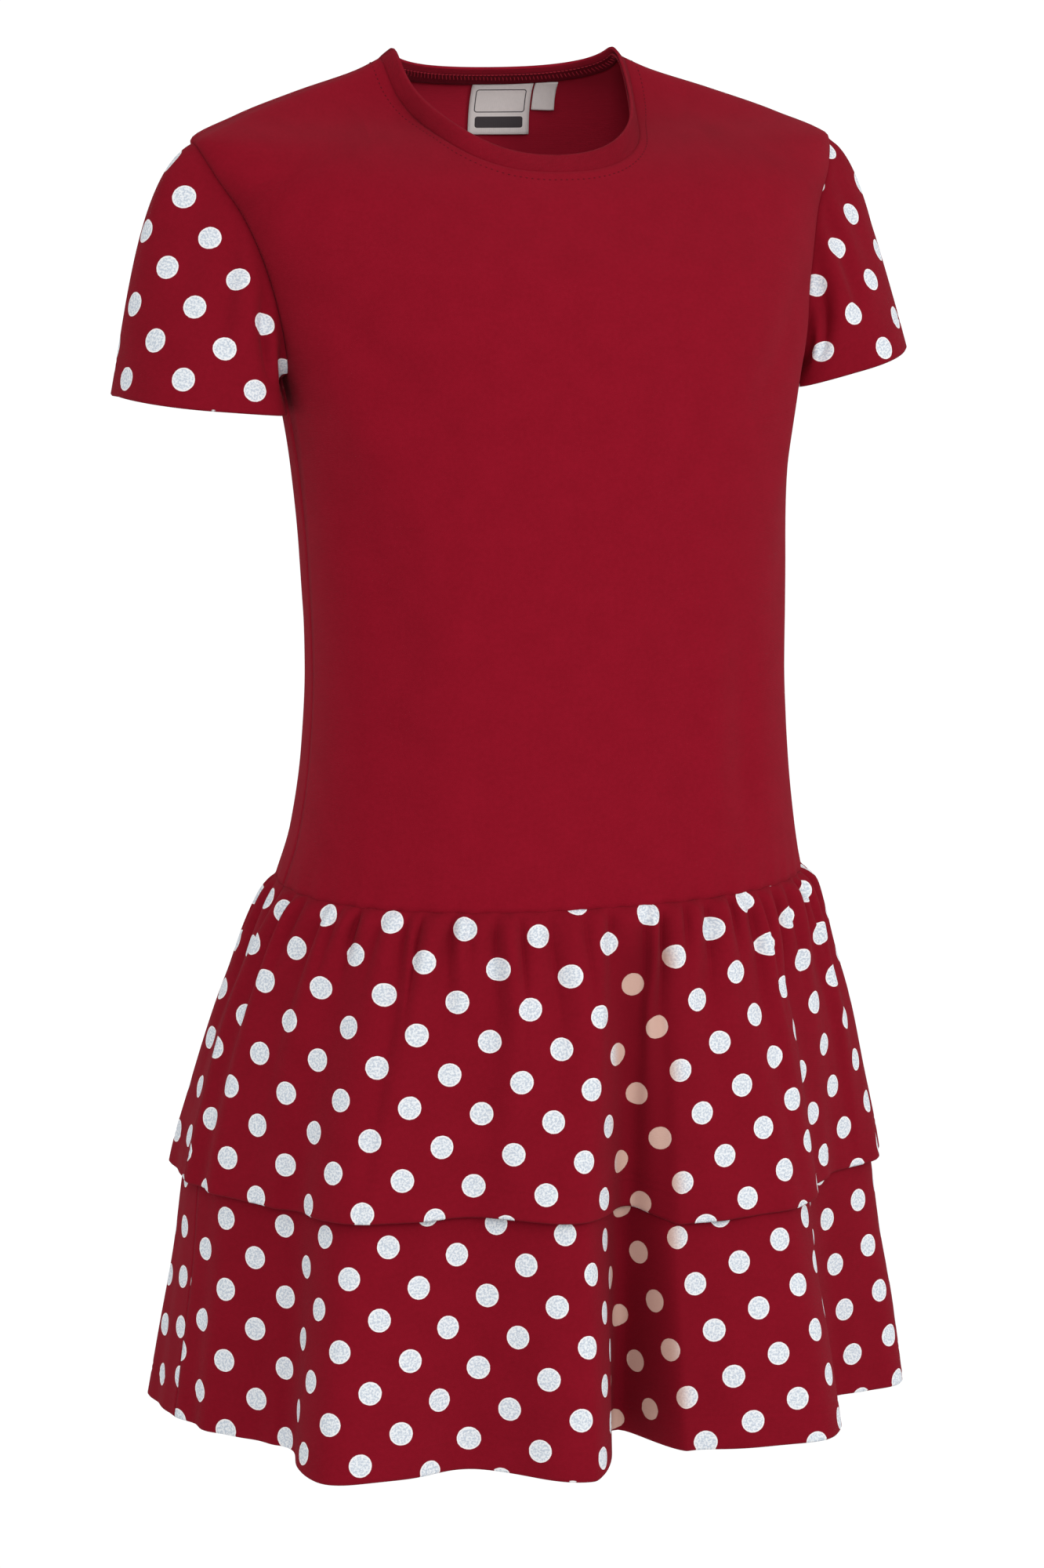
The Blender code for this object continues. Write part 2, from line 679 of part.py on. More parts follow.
def build_ruffles():
    """Both ruffles, each cut as a front and a back joined at the side seams."""
    for ruffle in RUFFLES:
        rings, ways = ruffle_grid(ruffle)
        half = ruffle.columns // 2
        for part, start in (("front", 0), ("back", half)):
            points, directions = half_ring(rings, ways, start, half)
            cloth_wall(f"{ruffle.name}_{part}", points, directions, CLOTH, False, DOTTED_JERSEY)


build_bodice()
build_labels()
build_ruffles()
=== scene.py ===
"""Looks of a girl's dress: plain jersey bodice, dotted sleeves and two gathered dotted ruffles.

Every piece of cloth is a thin shell drawn from the same sizes as its solid, only finer, with the
gathers, creases, hems and stitches that the solid leaves out. Metres, +Z up, front towards -Y,
+X towards the wearer's left. Drops are measured down from the neck points.
"""
import logging
import math
from dataclasses import dataclass, field, replace
from enum import Enum
from typing import Optional, Sequence, Union

import bpy
import numpy as np
from mathutils import Matrix, Vector


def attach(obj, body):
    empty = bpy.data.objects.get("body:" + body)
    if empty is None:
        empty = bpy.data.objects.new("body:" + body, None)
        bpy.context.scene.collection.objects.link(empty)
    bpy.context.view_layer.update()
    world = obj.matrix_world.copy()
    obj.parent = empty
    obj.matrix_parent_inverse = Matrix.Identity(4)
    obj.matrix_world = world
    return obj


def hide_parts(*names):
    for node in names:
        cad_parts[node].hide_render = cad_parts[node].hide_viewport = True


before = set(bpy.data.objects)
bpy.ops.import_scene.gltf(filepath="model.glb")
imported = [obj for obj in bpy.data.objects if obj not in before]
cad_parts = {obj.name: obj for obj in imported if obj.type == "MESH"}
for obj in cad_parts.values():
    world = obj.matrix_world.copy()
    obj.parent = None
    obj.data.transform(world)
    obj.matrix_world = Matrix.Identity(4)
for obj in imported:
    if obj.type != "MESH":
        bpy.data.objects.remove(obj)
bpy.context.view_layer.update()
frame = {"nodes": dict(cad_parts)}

LOG = logging.getLogger("dress")
BODY = "root"

Colour = tuple[float, float, float]
Place = tuple[float, float, float]
Numbers = Union[float, np.ndarray]
Output = bpy.types.NodeSocket
Fed = Union[float, tuple, Output]
UP = np.array([0.0, 0.0, 1.0])
BACKWARDS = np.array([0.0, 1.0, 0.0])
FULL_TURN = 360.0
HALF_TURN = 180.0
TINY = 1e-12


class Side(Enum):
    """Which half of the body a panel covers, by the sign of its Y direction."""

    FRONT = -1
    BACK = 1


class Slot(Enum):
    """Material slots of the record."""

    RED = "red_jersey"
    DOTTED = "dotted_jersey"
    RIB = "red_rib"
    LABEL = "label_white"


# Sizes down the garment

@dataclass(frozen=True)
class BodyLevel:
    """One level of the bodice: half width, side line and depths from it."""

    drop: float
    half_width: float
    side_y: float
    front: float
    back: float


@dataclass(frozen=True)
class SkirtLevel:
    """One level of the skirt, measured down from the hip seam."""

    drop: float
    half_width: float
    side_y: float
    front: float
    back: float
    upper_ease: float


@dataclass(frozen=True)
class Fold:
    """A ridge or valley of the skirt: angle from the front, then rise, lean and dips at the hem."""

    angle: float
    rise: float
    lean: float
    upper_dip: float
    lower_dip: float


@dataclass(frozen=True)
class SleeveGuide:
    """How far a sleeve swells from its armhole on its way to the cuff."""

    angle: float
    out: float
    forward: float
    rise: float


@dataclass(frozen=True)
class Crease:
    """A soft ridge (positive depth) or trough (negative) along a line on a piece of cloth."""

    start: tuple[float, float]
    end: tuple[float, float]
    width: float
    depth: float


@dataclass(frozen=True)
class DotPrint:
    """How the dot lattice lies on a piece: its turn in degrees and one dot's place, in metres."""

    turn: float
    across: float
    along: float
    pitch: float = 0.0260


BODICE_LEVELS = (
    BodyLevel(0.0045, 0.0665, 0.064, 0.008, 0.012),
    BodyLevel(0.0100, 0.0785, 0.061, 0.010, 0.021),
    BodyLevel(0.0205, 0.1120, 0.056, 0.014, 0.036),
    BodyLevel(0.0325, 0.1470, 0.049, 0.024, 0.048),
    BodyLevel(0.0450, 0.1725, 0.041, 0.048, 0.058),
    BodyLevel(0.0580, 0.1693, 0.036, 0.066, 0.065),
    BodyLevel(0.0800, 0.1590, 0.030, 0.083, 0.073),
    BodyLevel(0.1100, 0.1500, 0.021, 0.097, 0.082),
    BodyLevel(0.1400, 0.1425, 0.011, 0.099, 0.089),
    BodyLevel(0.1650, 0.1360, 0.004, 0.096, 0.091),
    BodyLevel(0.2080, 0.1300, -0.003, 0.092, 0.091),
    BodyLevel(0.2500, 0.1272, -0.008, 0.088, 0.088),
    BodyLevel(0.3090, 0.1255, -0.012, 0.087, 0.085),
    BodyLevel(0.3510, 0.1275, -0.013, 0.088, 0.087),
    BodyLevel(0.3920, 0.1325, -0.011, 0.0925, 0.089),
    BodyLevel(0.4195, 0.1387, -0.006, 0.098, 0.090),
)

SKIRT_LEVELS = (
    SkirtLevel(0.000, 0.1370, -0.006, 0.0963, 0.0883, 0.0017),
    SkirtLevel(0.004, 0.1381, -0.006, 0.0968, 0.0890, 0.0037),
    SkirtLevel(0.012, 0.1408, -0.005, 0.0980, 0.0910, 0.0052),
    SkirtLevel(0.032, 0.1490, -0.003, 0.1035, 0.0970, 0.0062),
    SkirtLevel(0.072, 0.1642, 0.000, 0.1110, 0.1050, 0.0062),
    SkirtLevel(0.112, 0.1749, 0.004, 0.1175, 0.1115, 0.0062),
    SkirtLevel(0.152, 0.1840, 0.006, 0.1235, 0.1170, 0.0062),
    SkirtLevel(0.200, 0.1895, 0.004, 0.1290, 0.1225, 0.0062),
    SkirtLevel(0.240, 0.1960, 0.002, 0.1335, 0.1270, 0.0062),
    SkirtLevel(0.280, 0.2015, 0.002, 0.1380, 0.1305, 0.0062),
)

SKIRT_FOLDS = (
    Fold(-112, 0.006, 0.000, 0.000, 0.001),
    Fold(-82, -0.010, 0.000, 0.000, 0.000),
    Fold(-59, -0.022, 0.000, 0.001, 0.001),
    Fold(-41, 0.023, -0.006, -0.002, 0.002),
    Fold(-22, -0.004, 0.000, -0.003, 0.001),
    Fold(-7, 0.018, 0.006, -0.001, 0.003),
    Fold(5, -0.045, 0.000, 0.002, 0.000),
    Fold(12, -0.001, -0.003, 0.008, 0.000),
    Fold(29, 0.025, 0.006, 0.006, -0.001),
    Fold(50, -0.020, 0.000, 0.005, 0.003),
    Fold(72, 0.008, 0.000, 0.005, 0.004),
    Fold(96, -0.013, 0.000, 0.002, 0.002),
    Fold(117, 0.014, 0.003, 0.000, 0.000),
    Fold(137, -0.018, 0.000, 0.002, 0.002),
    Fold(158, 0.013, -0.002, 0.000, 0.001),
    Fold(178, -0.022, 0.000, 0.002, 0.003),
    Fold(199, 0.014, 0.003, 0.001, 0.000),
    Fold(222, -0.014, 0.000, 0.002, 0.002),
)

SLEEVE_GUIDES = (
    SleeveGuide(0, 0.0190, 0.000, -0.012),
    SleeveGuide(90, 0.0150, 0.014, -0.016),
    SleeveGuide(180, 0.0085, 0.000, 0.002),
    SleeveGuide(270, 0.0150, -0.014, -0.016),
)


# Cloth arithmetic

# Steepness of a crease's fade towards its ends, and the share of it cut off there
CREASE_FADE = 0.7
CREASE_TIP = 0.02
# Share of a stretch that one pull takes out, and the strides and rounds of laying cloth flat
PULL = 0.15
FLAT_STAGES = ((6, 700), (2, 200), (1, 60))
# Distances of a hem's pressed lines from its edge, and the lines' depth and width
GROOVES = (0.0128, 0.0162)
GROOVE_DEPTH = 0.00022
GROOVE_WIDTH = 0.0009


def read_table(rows: Sequence[object], column: str, drops: Numbers) -> np.ndarray:
    """Read a table's column by a curve with no overshoot.

    Args:
        rows: the table's rows, in order of drop.
        column: the name of the wanted column.
        drops: one drop or an array of them.

    Returns:
        The column's value at each drop.
    """
    xs = np.array([row.drop for row in rows])
    ys = np.array([getattr(row, column) for row in rows])
    steps = np.diff(xs)
    slopes = np.diff(ys) / steps
    tangents = np.zeros(len(xs))
    tangents[0] = slopes[0]
    tangents[-1] = slopes[-1]
    for i in range(1, len(xs) - 1):
        if slopes[i - 1] * slopes[i] > 0:
            before = 2 * steps[i] + steps[i - 1]
            after = steps[i] + 2 * steps[i - 1]
            tangents[i] = (before + after) / (before / slopes[i - 1] + after / slopes[i])
    where = np.clip(np.asarray(drops, float), xs[0], xs[-1])
    k = np.clip(np.searchsorted(xs, where) - 1, 0, len(steps) - 1)
    t = (where - xs[k]) / steps[k]
    rise = ys[k + 1] - ys[k]
    start = tangents[k] * steps[k]
    end = tangents[k + 1] * steps[k]
    return ys[k] + t * start + t**2 * (3 * rise - 2 * start - end) + t**3 * (start + end - 2 * rise)


def unit(vectors: np.ndarray) -> np.ndarray:
    """Vectors scaled to length one."""
    return vectors / np.maximum(np.linalg.norm(vectors, axis=-1, keepdims=True), TINY)


def smooth_step(t: np.ndarray) -> np.ndarray:
    """Ease from 0 to 1."""
    t = np.clip(t, 0.0, 1.0)
    return t * t * (3 - 2 * t)


def bump(distance: np.ndarray, width: float) -> np.ndarray:
    """A bell of height one that fades within about two widths."""
    return np.exp(-(distance / width) ** 2)

def signed_power(values: np.ndarray, power: Numbers) -> np.ndarray:
    """Values raised to a power, with their signs kept."""
    return np.sign(values) * np.abs(values) ** power


def wrapped(angles: np.ndarray) -> np.ndarray:
    """Angles in degrees, brought between minus and plus half a turn."""
    return (angles + HALF_TURN) % FULL_TURN - HALF_TURN


def joined(rings: np.ndarray) -> np.ndarray:
    """Closed rings with their first column added again at the end."""
    return np.concatenate([rings, rings[:, :1]], axis=1)


def hem_grooves(to_edge: np.ndarray) -> np.ndarray:
    """How deep a hem's two pressed lines lie, by distance from its edge."""
    return GROOVE_DEPTH * sum(bump(to_edge - place, GROOVE_WIDTH) for place in GROOVES)


def lengths_along(points: np.ndarray, axis: int) -> np.ndarray:
    """Distance run along the rows or columns of a grid, from its first point.

    Args:
        points: the grid, or a single line of points.
        axis: the axis along which the distance runs.

    Returns:
        The distance at each point.
    """
    steps = np.linalg.norm(np.diff(points, axis=axis), axis=-1)
    first = np.zeros_like(np.take(steps, [0], axis=axis))
    return np.concatenate([first, np.cumsum(steps, axis=axis)], axis=axis)


def to_last_row(points: np.ndarray) -> np.ndarray:
    """Distance of each point from the grid's last row, along its column."""
    return lengths_along(points[::-1], axis=0)[::-1]


def outward_ways(points: np.ndarray, closed: bool) -> np.ndarray:
    """Directions square to a grid whose rows run upwards and whose columns run to the left.

    Args:
        points: the grid, shape (rows, columns, 3).
        closed: whether its last column joins its first.

    Returns:
        One direction for each point.
    """
    if closed:
        across = np.roll(points, -1, axis=1) - np.roll(points, 1, axis=1)
    else:
        across = np.gradient(points, axis=1)
    return unit(np.cross(across, np.gradient(points, axis=0)))


def crease_field(u: np.ndarray, v: np.ndarray, creases: Sequence[Crease]) -> np.ndarray:
    """Height of a piece's creases at its own coordinates.

    Args:
        u: first coordinate of each point.
        v: second coordinate of each point.
        creases: the ridges and troughs.

    Returns:
        How far each point moves outwards.
    """
    height = np.zeros(np.broadcast(u, v).shape)
    for crease in creases:
        (u0, v0), (u1, v1) = crease.start, crease.end
        span = (u1 - u0) ** 2 + (v1 - v0) ** 2
        t = ((u - u0) * (u1 - u0) + (v - v0) * (v1 - v0)) / span
        held = np.clip(t, 0.0, 1.0)
        off = np.hypot(u - u0 - held * (u1 - u0), v - v0 - held * (v1 - v0))
        fade = np.sin(math.pi * np.clip(t, CREASE_TIP, 1 - CREASE_TIP)) ** CREASE_FADE
        height = height + crease.depth * bump(off, crease.width) * fade
    return height


@dataclass
class ClothGrid:
    """Outer points of one piece of cloth, rows by columns, with what its wall and finish need.

    Attributes:
        points: outer points, shape (rows, columns, 3).
        ways: outward directions at the points.
        flat: coordinates on the flat cloth in metres; a ring has one column more than points.
        closed: whether the last column joins the first.
        hollow: how deep in a fold each point lies, from 0 to 1, shape (rows, columns); it masks the
            painted shade there.
    """

    points: np.ndarray
    ways: np.ndarray
    flat: np.ndarray
    closed: bool = False
    hollow: Optional[np.ndarray] = None


@dataclass(frozen=True)
class Wall:
    """Thickness of a piece of cloth, and of its hem where the cloth is turned up."""

    cloth: float = 0.0010
    hem: float = 0.0018
    hem_depth: float = 0.0
    step: float = 0.001

    def thickness(self, to_edge: np.ndarray) -> np.ndarray:
        """Thickness of the wall at points near or far from the hem's edge.

        Args:
            to_edge: distance of each point from the edge.

        Returns:
            The thickness at each point.
        """
        if self.hem_depth <= 0:
            return np.full_like(to_edge, self.cloth)
        turned = smooth_step((self.hem_depth + self.step - to_edge) / self.step)
        return self.cloth + (self.hem - self.cloth) * turned


def add_piece(name: str, points: np.ndarray, faces: list,
              uvs: dict[str, np.ndarray]) -> bpy.types.Object:
    """Make a smooth mesh object.

    Args:
        name: the new object's name.
        points: its points.
        faces: the point numbers of each face.
        uvs: for each UV map the coordinates of the faces' corners.

    Returns:
        The new object.
    """
    mesh = bpy.data.meshes.new(name)
    mesh.from_pydata(points.tolist(), [], faces)
    for label, corners in uvs.items():
        layer = mesh.uv_layers.new(name=label)
        layer.data.foreach_set("uv", corners.astype(np.float32).ravel())
    mesh.shade_smooth()
    mesh.update()
    piece = bpy.data.objects.new(name, mesh)
    bpy.context.scene.collection.objects.link(piece)
    return piece


def add_values(mesh: bpy.types.Mesh, name: str, values: np.ndarray) -> None:
    """Store one number for each point of a mesh."""
    attribute = mesh.attributes.new(name, "FLOAT", "POINT")
    attribute.data.foreach_set("value", values.astype(np.float32).ravel())


def shell_loop(grid: ClothGrid, thickness: np.ndarray) -> np.ndarray:
    """Points round a piece's wall: down its outer face, up its inner face, with both edges rounded.

    Args:
        grid: the outer points.
        thickness: wall thickness at each point, shape (rows, columns).

    Returns:
        The points, shape (2 * rows + 2, columns, 3).
    """
    outer = grid.points
    inner = outer - grid.ways * thickness[..., None]
    last = unit(outer[-1] - outer[-2]) * thickness[-1][:, None] / 2
    first = unit(outer[0] - outer[1]) * thickness[0][:, None] / 2
    hem_edge = (outer[-1] + inner[-1]) / 2 + last
    top_edge = (outer[0] + inner[0]) / 2 + first
    return np.concatenate([outer, hem_edge[None], inner[::-1], top_edge[None]])


def make_shell(name: str, grid: ClothGrid, thickness: Numbers,
               lattice: np.ndarray) -> bpy.types.Object:
    """Make the closed thin shell of a piece of cloth.

    Args:
        name: the new object's name.
        grid: the outer points.
        thickness: wall thickness, one for all points or shape (rows, columns).
        lattice: the dot lattice's coordinates, shaped as grid.flat.

    Returns:
        The new object, with its UV maps "cloth" and "dots" and its attributes "outer" and "hollow",
        the latter masking painted shade in a fold.
    """
    outer_rows = len(grid.points)
    loop = shell_loop(grid, np.broadcast_to(thickness, grid.points.shape[:2]))
    points = loop.reshape(-1, 3)
    rows, columns = loop.shape[:2]
    row = np.arange(rows)[:, None]
    column = np.arange(columns if grid.closed else columns - 1)[None, :]
    below = (row + 1) % rows
    beside = (column + 1) % columns
    corners = [row * columns + column, row * columns + beside,
               below * columns + beside, below * columns + column]
    quads = np.stack(np.broadcast_arrays(*corners), axis=-1).reshape(-1, 4)
    turn = -1 if signed_volume(points, quads) < 0 else 1
    caps = [] if grid.closed else end_caps(outer_rows, columns, turn)
    cap_corners = [corner for face in caps for corner in face]
    down = np.arange(outer_rows)
    order = np.concatenate([down, down[-1:], down[::-1], down[:1]])
    uvs = {}
    for label, layer in (("cloth", grid.flat), ("dots", lattice)):
        ring = layer[order]
        picks = [ring[row, column], ring[row, column + 1],
                 ring[below, column + 1], ring[below, column]]
        uvs[label] = np.stack(np.broadcast_arrays(*picks[::turn]), axis=2).reshape(-1, 2)
        if caps:
            uvs[label] = np.concatenate([uvs[label], ring.reshape(-1, 2)[cap_corners]])
    piece = add_piece(name, points, quads[:, ::turn].tolist() + caps, uvs)
    is_outer = np.zeros((rows, columns))
    is_outer[:outer_rows + 1] = 1.0
    add_values(piece.data, "outer", is_outer)
    # Mask of painted shade in a fold, kept on the outer face
    depth = np.zeros((rows, columns))
    if grid.hollow is not None:
        depth[:outer_rows] = grid.hollow
    add_values(piece.data, "hollow", depth)
    return piece


def end_caps(rows: int, columns: int, turn: int) -> list[list[int]]:
    """Faces that close the two side edges of an open shell.

    Args:
        rows: rows of the outer grid.
        columns: columns of the shell's loop.
        turn: 1 for faces in the loop's own order, -1 for the reverse order.

    Returns:
        The point numbers of each face.
    """
    total = 2 * rows + 2
    strip = [[i, i + 1, total - 3 - i, total - 2 - i] for i in range(rows - 1)]
    strip += [[rows - 1, rows, rows + 1], [total - 1, 0, total - 2]]
    faces = []
    for column, way in ((0, turn), (columns - 1, -turn)):
        faces += [[place * columns + column for place in face[::way]] for face in strip]
    return faces


def signed_volume(points: np.ndarray, quads: np.ndarray) -> float:
    """Volume inside quads.

    Args:
        points: the points.
        quads: four point numbers for each face.

    Returns:
        The volume, below zero where the faces look inwards.
    """
    a, b, c, d = (points[quads[:, i]] for i in range(4))
    return float(np.einsum("ij,ij->", a, np.cross(b, c) + np.cross(c, d)))


def pull_flat(solid: np.ndarray, flat: np.ndarray, rounds: int) -> None:
    """Pull flat points until their distances are those of the curved grid.

    Args:
        solid: the curved grid.
        flat: its flat coordinates, moved in place.
        rounds: how often they are pulled.
    """
    every = slice(None)
    low, high = slice(None, -1), slice(1, None)
    links = []
    for first, second in (((every, low), (every, high)), ((low, every), (high, every)),
                          ((low, low), (high, high)), ((low, high), (high, low))):
        rest = np.linalg.norm(solid[second] - solid[first], axis=-1, keepdims=True)
        links.append((first, second, rest))
    for _ in range(rounds):
        move = np.zeros_like(flat)
        for first, second, rest in links:
            apart = flat[second] - flat[first]
            length = np.maximum(np.linalg.norm(apart, axis=-1, keepdims=True), TINY)
            pull = PULL * apart * (1 - rest / length)
            move[first] += pull
            move[second] -= pull
        flat += move


def relax_flat(points: np.ndarray, start: np.ndarray) -> np.ndarray:
    """Lay a curved piece of cloth flat with as little stretch as can be had, coarse grids first.

    Args:
        points: the curved grid.
        start: a first guess of its flat coordinates.

    Returns:
        Its flat coordinates.
    """
    flat = start
    every_row = np.arange(points.shape[0])
    every_column = np.arange(points.shape[1])
    for stride, rounds in FLAT_STAGES:
        rows = np.unique(np.append(np.arange(0, points.shape[0], stride), points.shape[0] - 1))
        columns = np.unique(np.append(np.arange(0, points.shape[1], stride), points.shape[1] - 1))
        before = flat[np.ix_(rows, columns)]
        after = before.copy()
        pull_flat(points[np.ix_(rows, columns)], after, rounds)
        layers = []
        for axis in range(2):
            shift = (after - before)[..., axis]
            down = np.array([np.interp(every_row, rows, line) for line in shift.T]).T
            layers.append(np.array([np.interp(every_column, columns, line) for line in down]))
        flat = flat + np.stack(layers, axis=-1)
    return flat


def dot_lattice(flat: np.ndarray, dots: DotPrint) -> np.ndarray:
    """Coordinates in which the dots lie on whole numbers.

    Args:
        flat: coordinates on the flat cloth, in metres.
        dots: how the lattice lies on the piece.

    Returns:
        Lattice coordinates, shaped as flat.
    """
    turn = math.radians(dots.turn)
    moved = (flat - np.array([dots.across, dots.along])) / dots.pitch
    x = moved[..., 0] * math.cos(turn) + moved[..., 1] * math.sin(turn)
    y = -moved[..., 0] * math.sin(turn) + moved[..., 1] * math.cos(turn)
    return np.stack([x, y], axis=-1)


# Bodice

@dataclass
class Bodice:
    """Front and back panels of the bodice, cut to the dropped waist."""

    hip_drop: float = 0.4195
    underarm_drop: float = 0.161
    shoulder_drop: float = 0.045
    neck_drop: float = 0.0045
    neck_half_width: float = 0.0665
    neck_squareness: float = 2.5
    front_neck_drop: float = 0.0572
    back_neck_drop: float = 0.018
    roundness: float = 2.3
    neck_columns: int = 28
    half_columns: int = 52
    body_rows: int = 56
    armhole_rows: int = 40
    neck_crowding: float = 1.3
    spread_start: float = 0.60
    row_evenness: float = 0.4
    armhole_hollow: float = 0.024
    armhole_fullness: float = 0.8
    armhole_flattening: float = 0.6
    armhole_tilt: float = 0.32
    neck_middle_y: float = 0.035
    neck_half_depth: float = 0.059
    seam_gap: float = 0.0003
    side_gap: float = 0.00006
    pucker_height: float = 0.0005
    pucker_reach: float = 0.012
    puckers: float = 58.0
    pucker_swing: float = 2.0
    pucker_swings: float = 7.0
    pucker_depth: float = 0.02
    row_crowding: float = 1.15
    crease_margin: float = 0.012
    shoulder_inset: float = 0.995
    shoulder_steps: int = 60
    neck_above: float = 0.05
    line_rounds: int = 4
    wall: Wall = field(default_factory=Wall)
    front_creases: tuple[Crease, ...] = (
        Crease((-0.138, 0.105), (-0.070, 0.190), 0.010, -0.0020),
        Crease((-0.140, 0.130), (-0.080, 0.245), 0.009, 0.0016),
        Crease((-0.137, 0.150), (-0.098, 0.300), 0.010, -0.0018),
        Crease((-0.100, 0.190), (-0.106, 0.395), 0.013, -0.0020),
        Crease((-0.074, 0.230), (-0.080, 0.400), 0.012, 0.0013),
        Crease((-0.030, 0.100), (-0.044, 0.330), 0.020, -0.0010),
        Crease((0.010, 0.080), (0.022, 0.260), 0.018, 0.0010),
        Crease((0.140, 0.100), (0.085, 0.180), 0.009, -0.0022),
        Crease((0.141, 0.125), (0.100, 0.230), 0.008, 0.0015),
        Crease((0.137, 0.150), (0.107, 0.285), 0.009, -0.0016),
        Crease((0.079, 0.275), (0.085, 0.405), 0.010, -0.0024),
        Crease((0.060, 0.300), (0.064, 0.410), 0.010, 0.0012),
        Crease((0.038, 0.245), (0.050, 0.380), 0.014, -0.0009),
        Crease((-0.120, 0.330), (-0.050, 0.352), 0.008, -0.0009),
        Crease((0.118, 0.345), (0.056, 0.362), 0.007, -0.0008),
    )
    back_creases: tuple[Crease, ...] = (
        Crease((0.000, 0.070), (0.004, 0.300), 0.020, -0.0022),
        Crease((-0.138, 0.100), (-0.066, 0.160), 0.010, -0.0020),
        Crease((0.138, 0.098), (0.072, 0.168), 0.010, -0.0021),
        Crease((-0.134, 0.135), (-0.084, 0.260), 0.010, 0.0014),
        Crease((0.135, 0.140), (0.080, 0.250), 0.010, 0.0015),
        Crease((-0.122, 0.285), (-0.034, 0.330), 0.009, -0.0013),
        Crease((0.120, 0.300), (0.030, 0.344), 0.010, -0.0012),
        Crease((-0.112, 0.350), (-0.030, 0.372), 0.008, 0.0010),
        Crease((0.106, 0.240), (0.101, 0.400), 0.012, -0.0015),
        Crease((-0.098, 0.250), (-0.103, 0.400), 0.012, -0.0014),
    )

    def edge_half_width(self, drops: np.ndarray) -> np.ndarray:
        """Half width of a panel at its side seam and armhole.

        Args:
            drops: levels down the garment.

        Returns:
            The half width at each level.
        """
        height = self.underarm_drop - self.shoulder_drop
        share = np.clip((drops - self.shoulder_drop) / height, 0, 1)
        hollow = self.armhole_hollow * np.sin(math.pi * share) ** self.armhole_fullness
        return read_table(BODICE_LEVELS, "half_width", drops) * (1 - hollow)

    def surface(self, side: Side, x: np.ndarray, drop: np.ndarray) -> np.ndarray:
        """Outer points of a panel.

        Args:
            side: the panel.
            x: each point's place across.
            drop: each point's drop.

        Returns:
            The points.
        """
        reach = np.clip(np.abs(x) / read_table(BODICE_LEVELS, "half_width", drop), 0, 1)
        depth = read_table(BODICE_LEVELS, side.name.lower(), drop)
        bow = (1 - reach**self.roundness) ** (1 / self.roundness)
        y = read_table(BODICE_LEVELS, "side_y", drop) + side.value * depth * bow
        return np.stack(np.broadcast_arrays(x, y, -drop), axis=-1)

    def from_centre(self) -> np.ndarray:
        """How many columns each column of a panel lies from its centre."""
        return np.abs(np.arange(2 * self.half_columns + 1) - self.half_columns)

    def levels(self) -> np.ndarray:
        """Rows of a panel, crowded at the underarm.

        Returns:
            Each row's share of the way from hip to shoulder tip.
        """
        height = self.hip_drop - self.shoulder_drop
        underarm = (self.hip_drop - self.underarm_drop) / height
        t = np.linspace(0, 1, self.armhole_rows + 1)[1:]
        climb = self.row_evenness * t + (1 - self.row_evenness) * np.sin(math.pi * t / 2)
        body = underarm * np.linspace(0, 1, self.body_rows + 1) ** self.row_crowding
        return np.concatenate([body, underarm + (1 - underarm) * climb])

    def top_edge(self, u: np.ndarray, neck_drop: float) -> tuple[np.ndarray, np.ndarray]:
        """A panel's top edge: its neckline and its shoulder.

        Args:
            u: share of the way from the centre to the shoulder tip.
            neck_drop: drop of the neckline's middle.

        Returns:
            Place across and drop at each share.
        """
        neck_share = self.neck_columns / self.half_columns
        left = 1 - np.clip(u / neck_share, 0, 1)
        turn = (1 - left**self.neck_crowding) * math.pi / 2
        power = 2 / self.neck_squareness
        neck_x = self.neck_half_width * np.sin(turn) ** power
        neck_z = self.neck_drop + (neck_drop - self.neck_drop) * np.cos(turn) ** power
        share = np.clip((u - neck_share) / (1 - neck_share), 0, 1)
        shoulder_z = self.neck_drop + (self.shoulder_drop - self.neck_drop) * share
        shoulder_x = read_table(BODICE_LEVELS, "half_width", shoulder_z)
        on_neck = share <= 0
        return np.where(on_neck, neck_x, shoulder_x), np.where(on_neck, neck_z, shoulder_z)

    def panel(self, side: Side) -> tuple[np.ndarray, np.ndarray]:
        """Lay out one panel.

        Args:
            side: the panel.

        Returns:
            Its outer points, and how far across each lies.
        """
        neck_drop = self.front_neck_drop if side is Side.FRONT else self.back_neck_drop
        v = self.levels()[:, None]
        size = self.from_centre()[None, :] / self.half_columns
        top_x, top_drop = self.top_edge(size, neck_drop)
        drop = self.hip_drop + v * (top_drop - self.hip_drop)
        edge = self.edge_half_width(self.hip_drop + v * (self.shoulder_drop - self.hip_drop))
        tip = self.edge_half_width(np.array(self.shoulder_drop))
        spread = np.clip((v - self.spread_start) / (1 - self.spread_start), 0, 1) ** 3
        x = ((1 - spread) * np.sin(size * math.pi / 2) + spread * top_x / tip) * edge
        sign = np.sign(np.arange(2 * self.half_columns + 1) - self.half_columns)[None, :]
        return self.surface(side, sign * x, drop), sign * x

    def neck_rays(self, loop: np.ndarray) -> np.ndarray:
        """Level directions out of the neck.

        Args:
            loop: points round the neck.

        Returns:
            The direction at each point.
        """
        rays = np.zeros_like(loop)
        rays[:, 0] = loop[:, 0] / self.neck_half_width**2
        rays[:, 1] = (loop[:, 1] - self.neck_middle_y) / self.neck_half_depth**2
        return unit(rays)

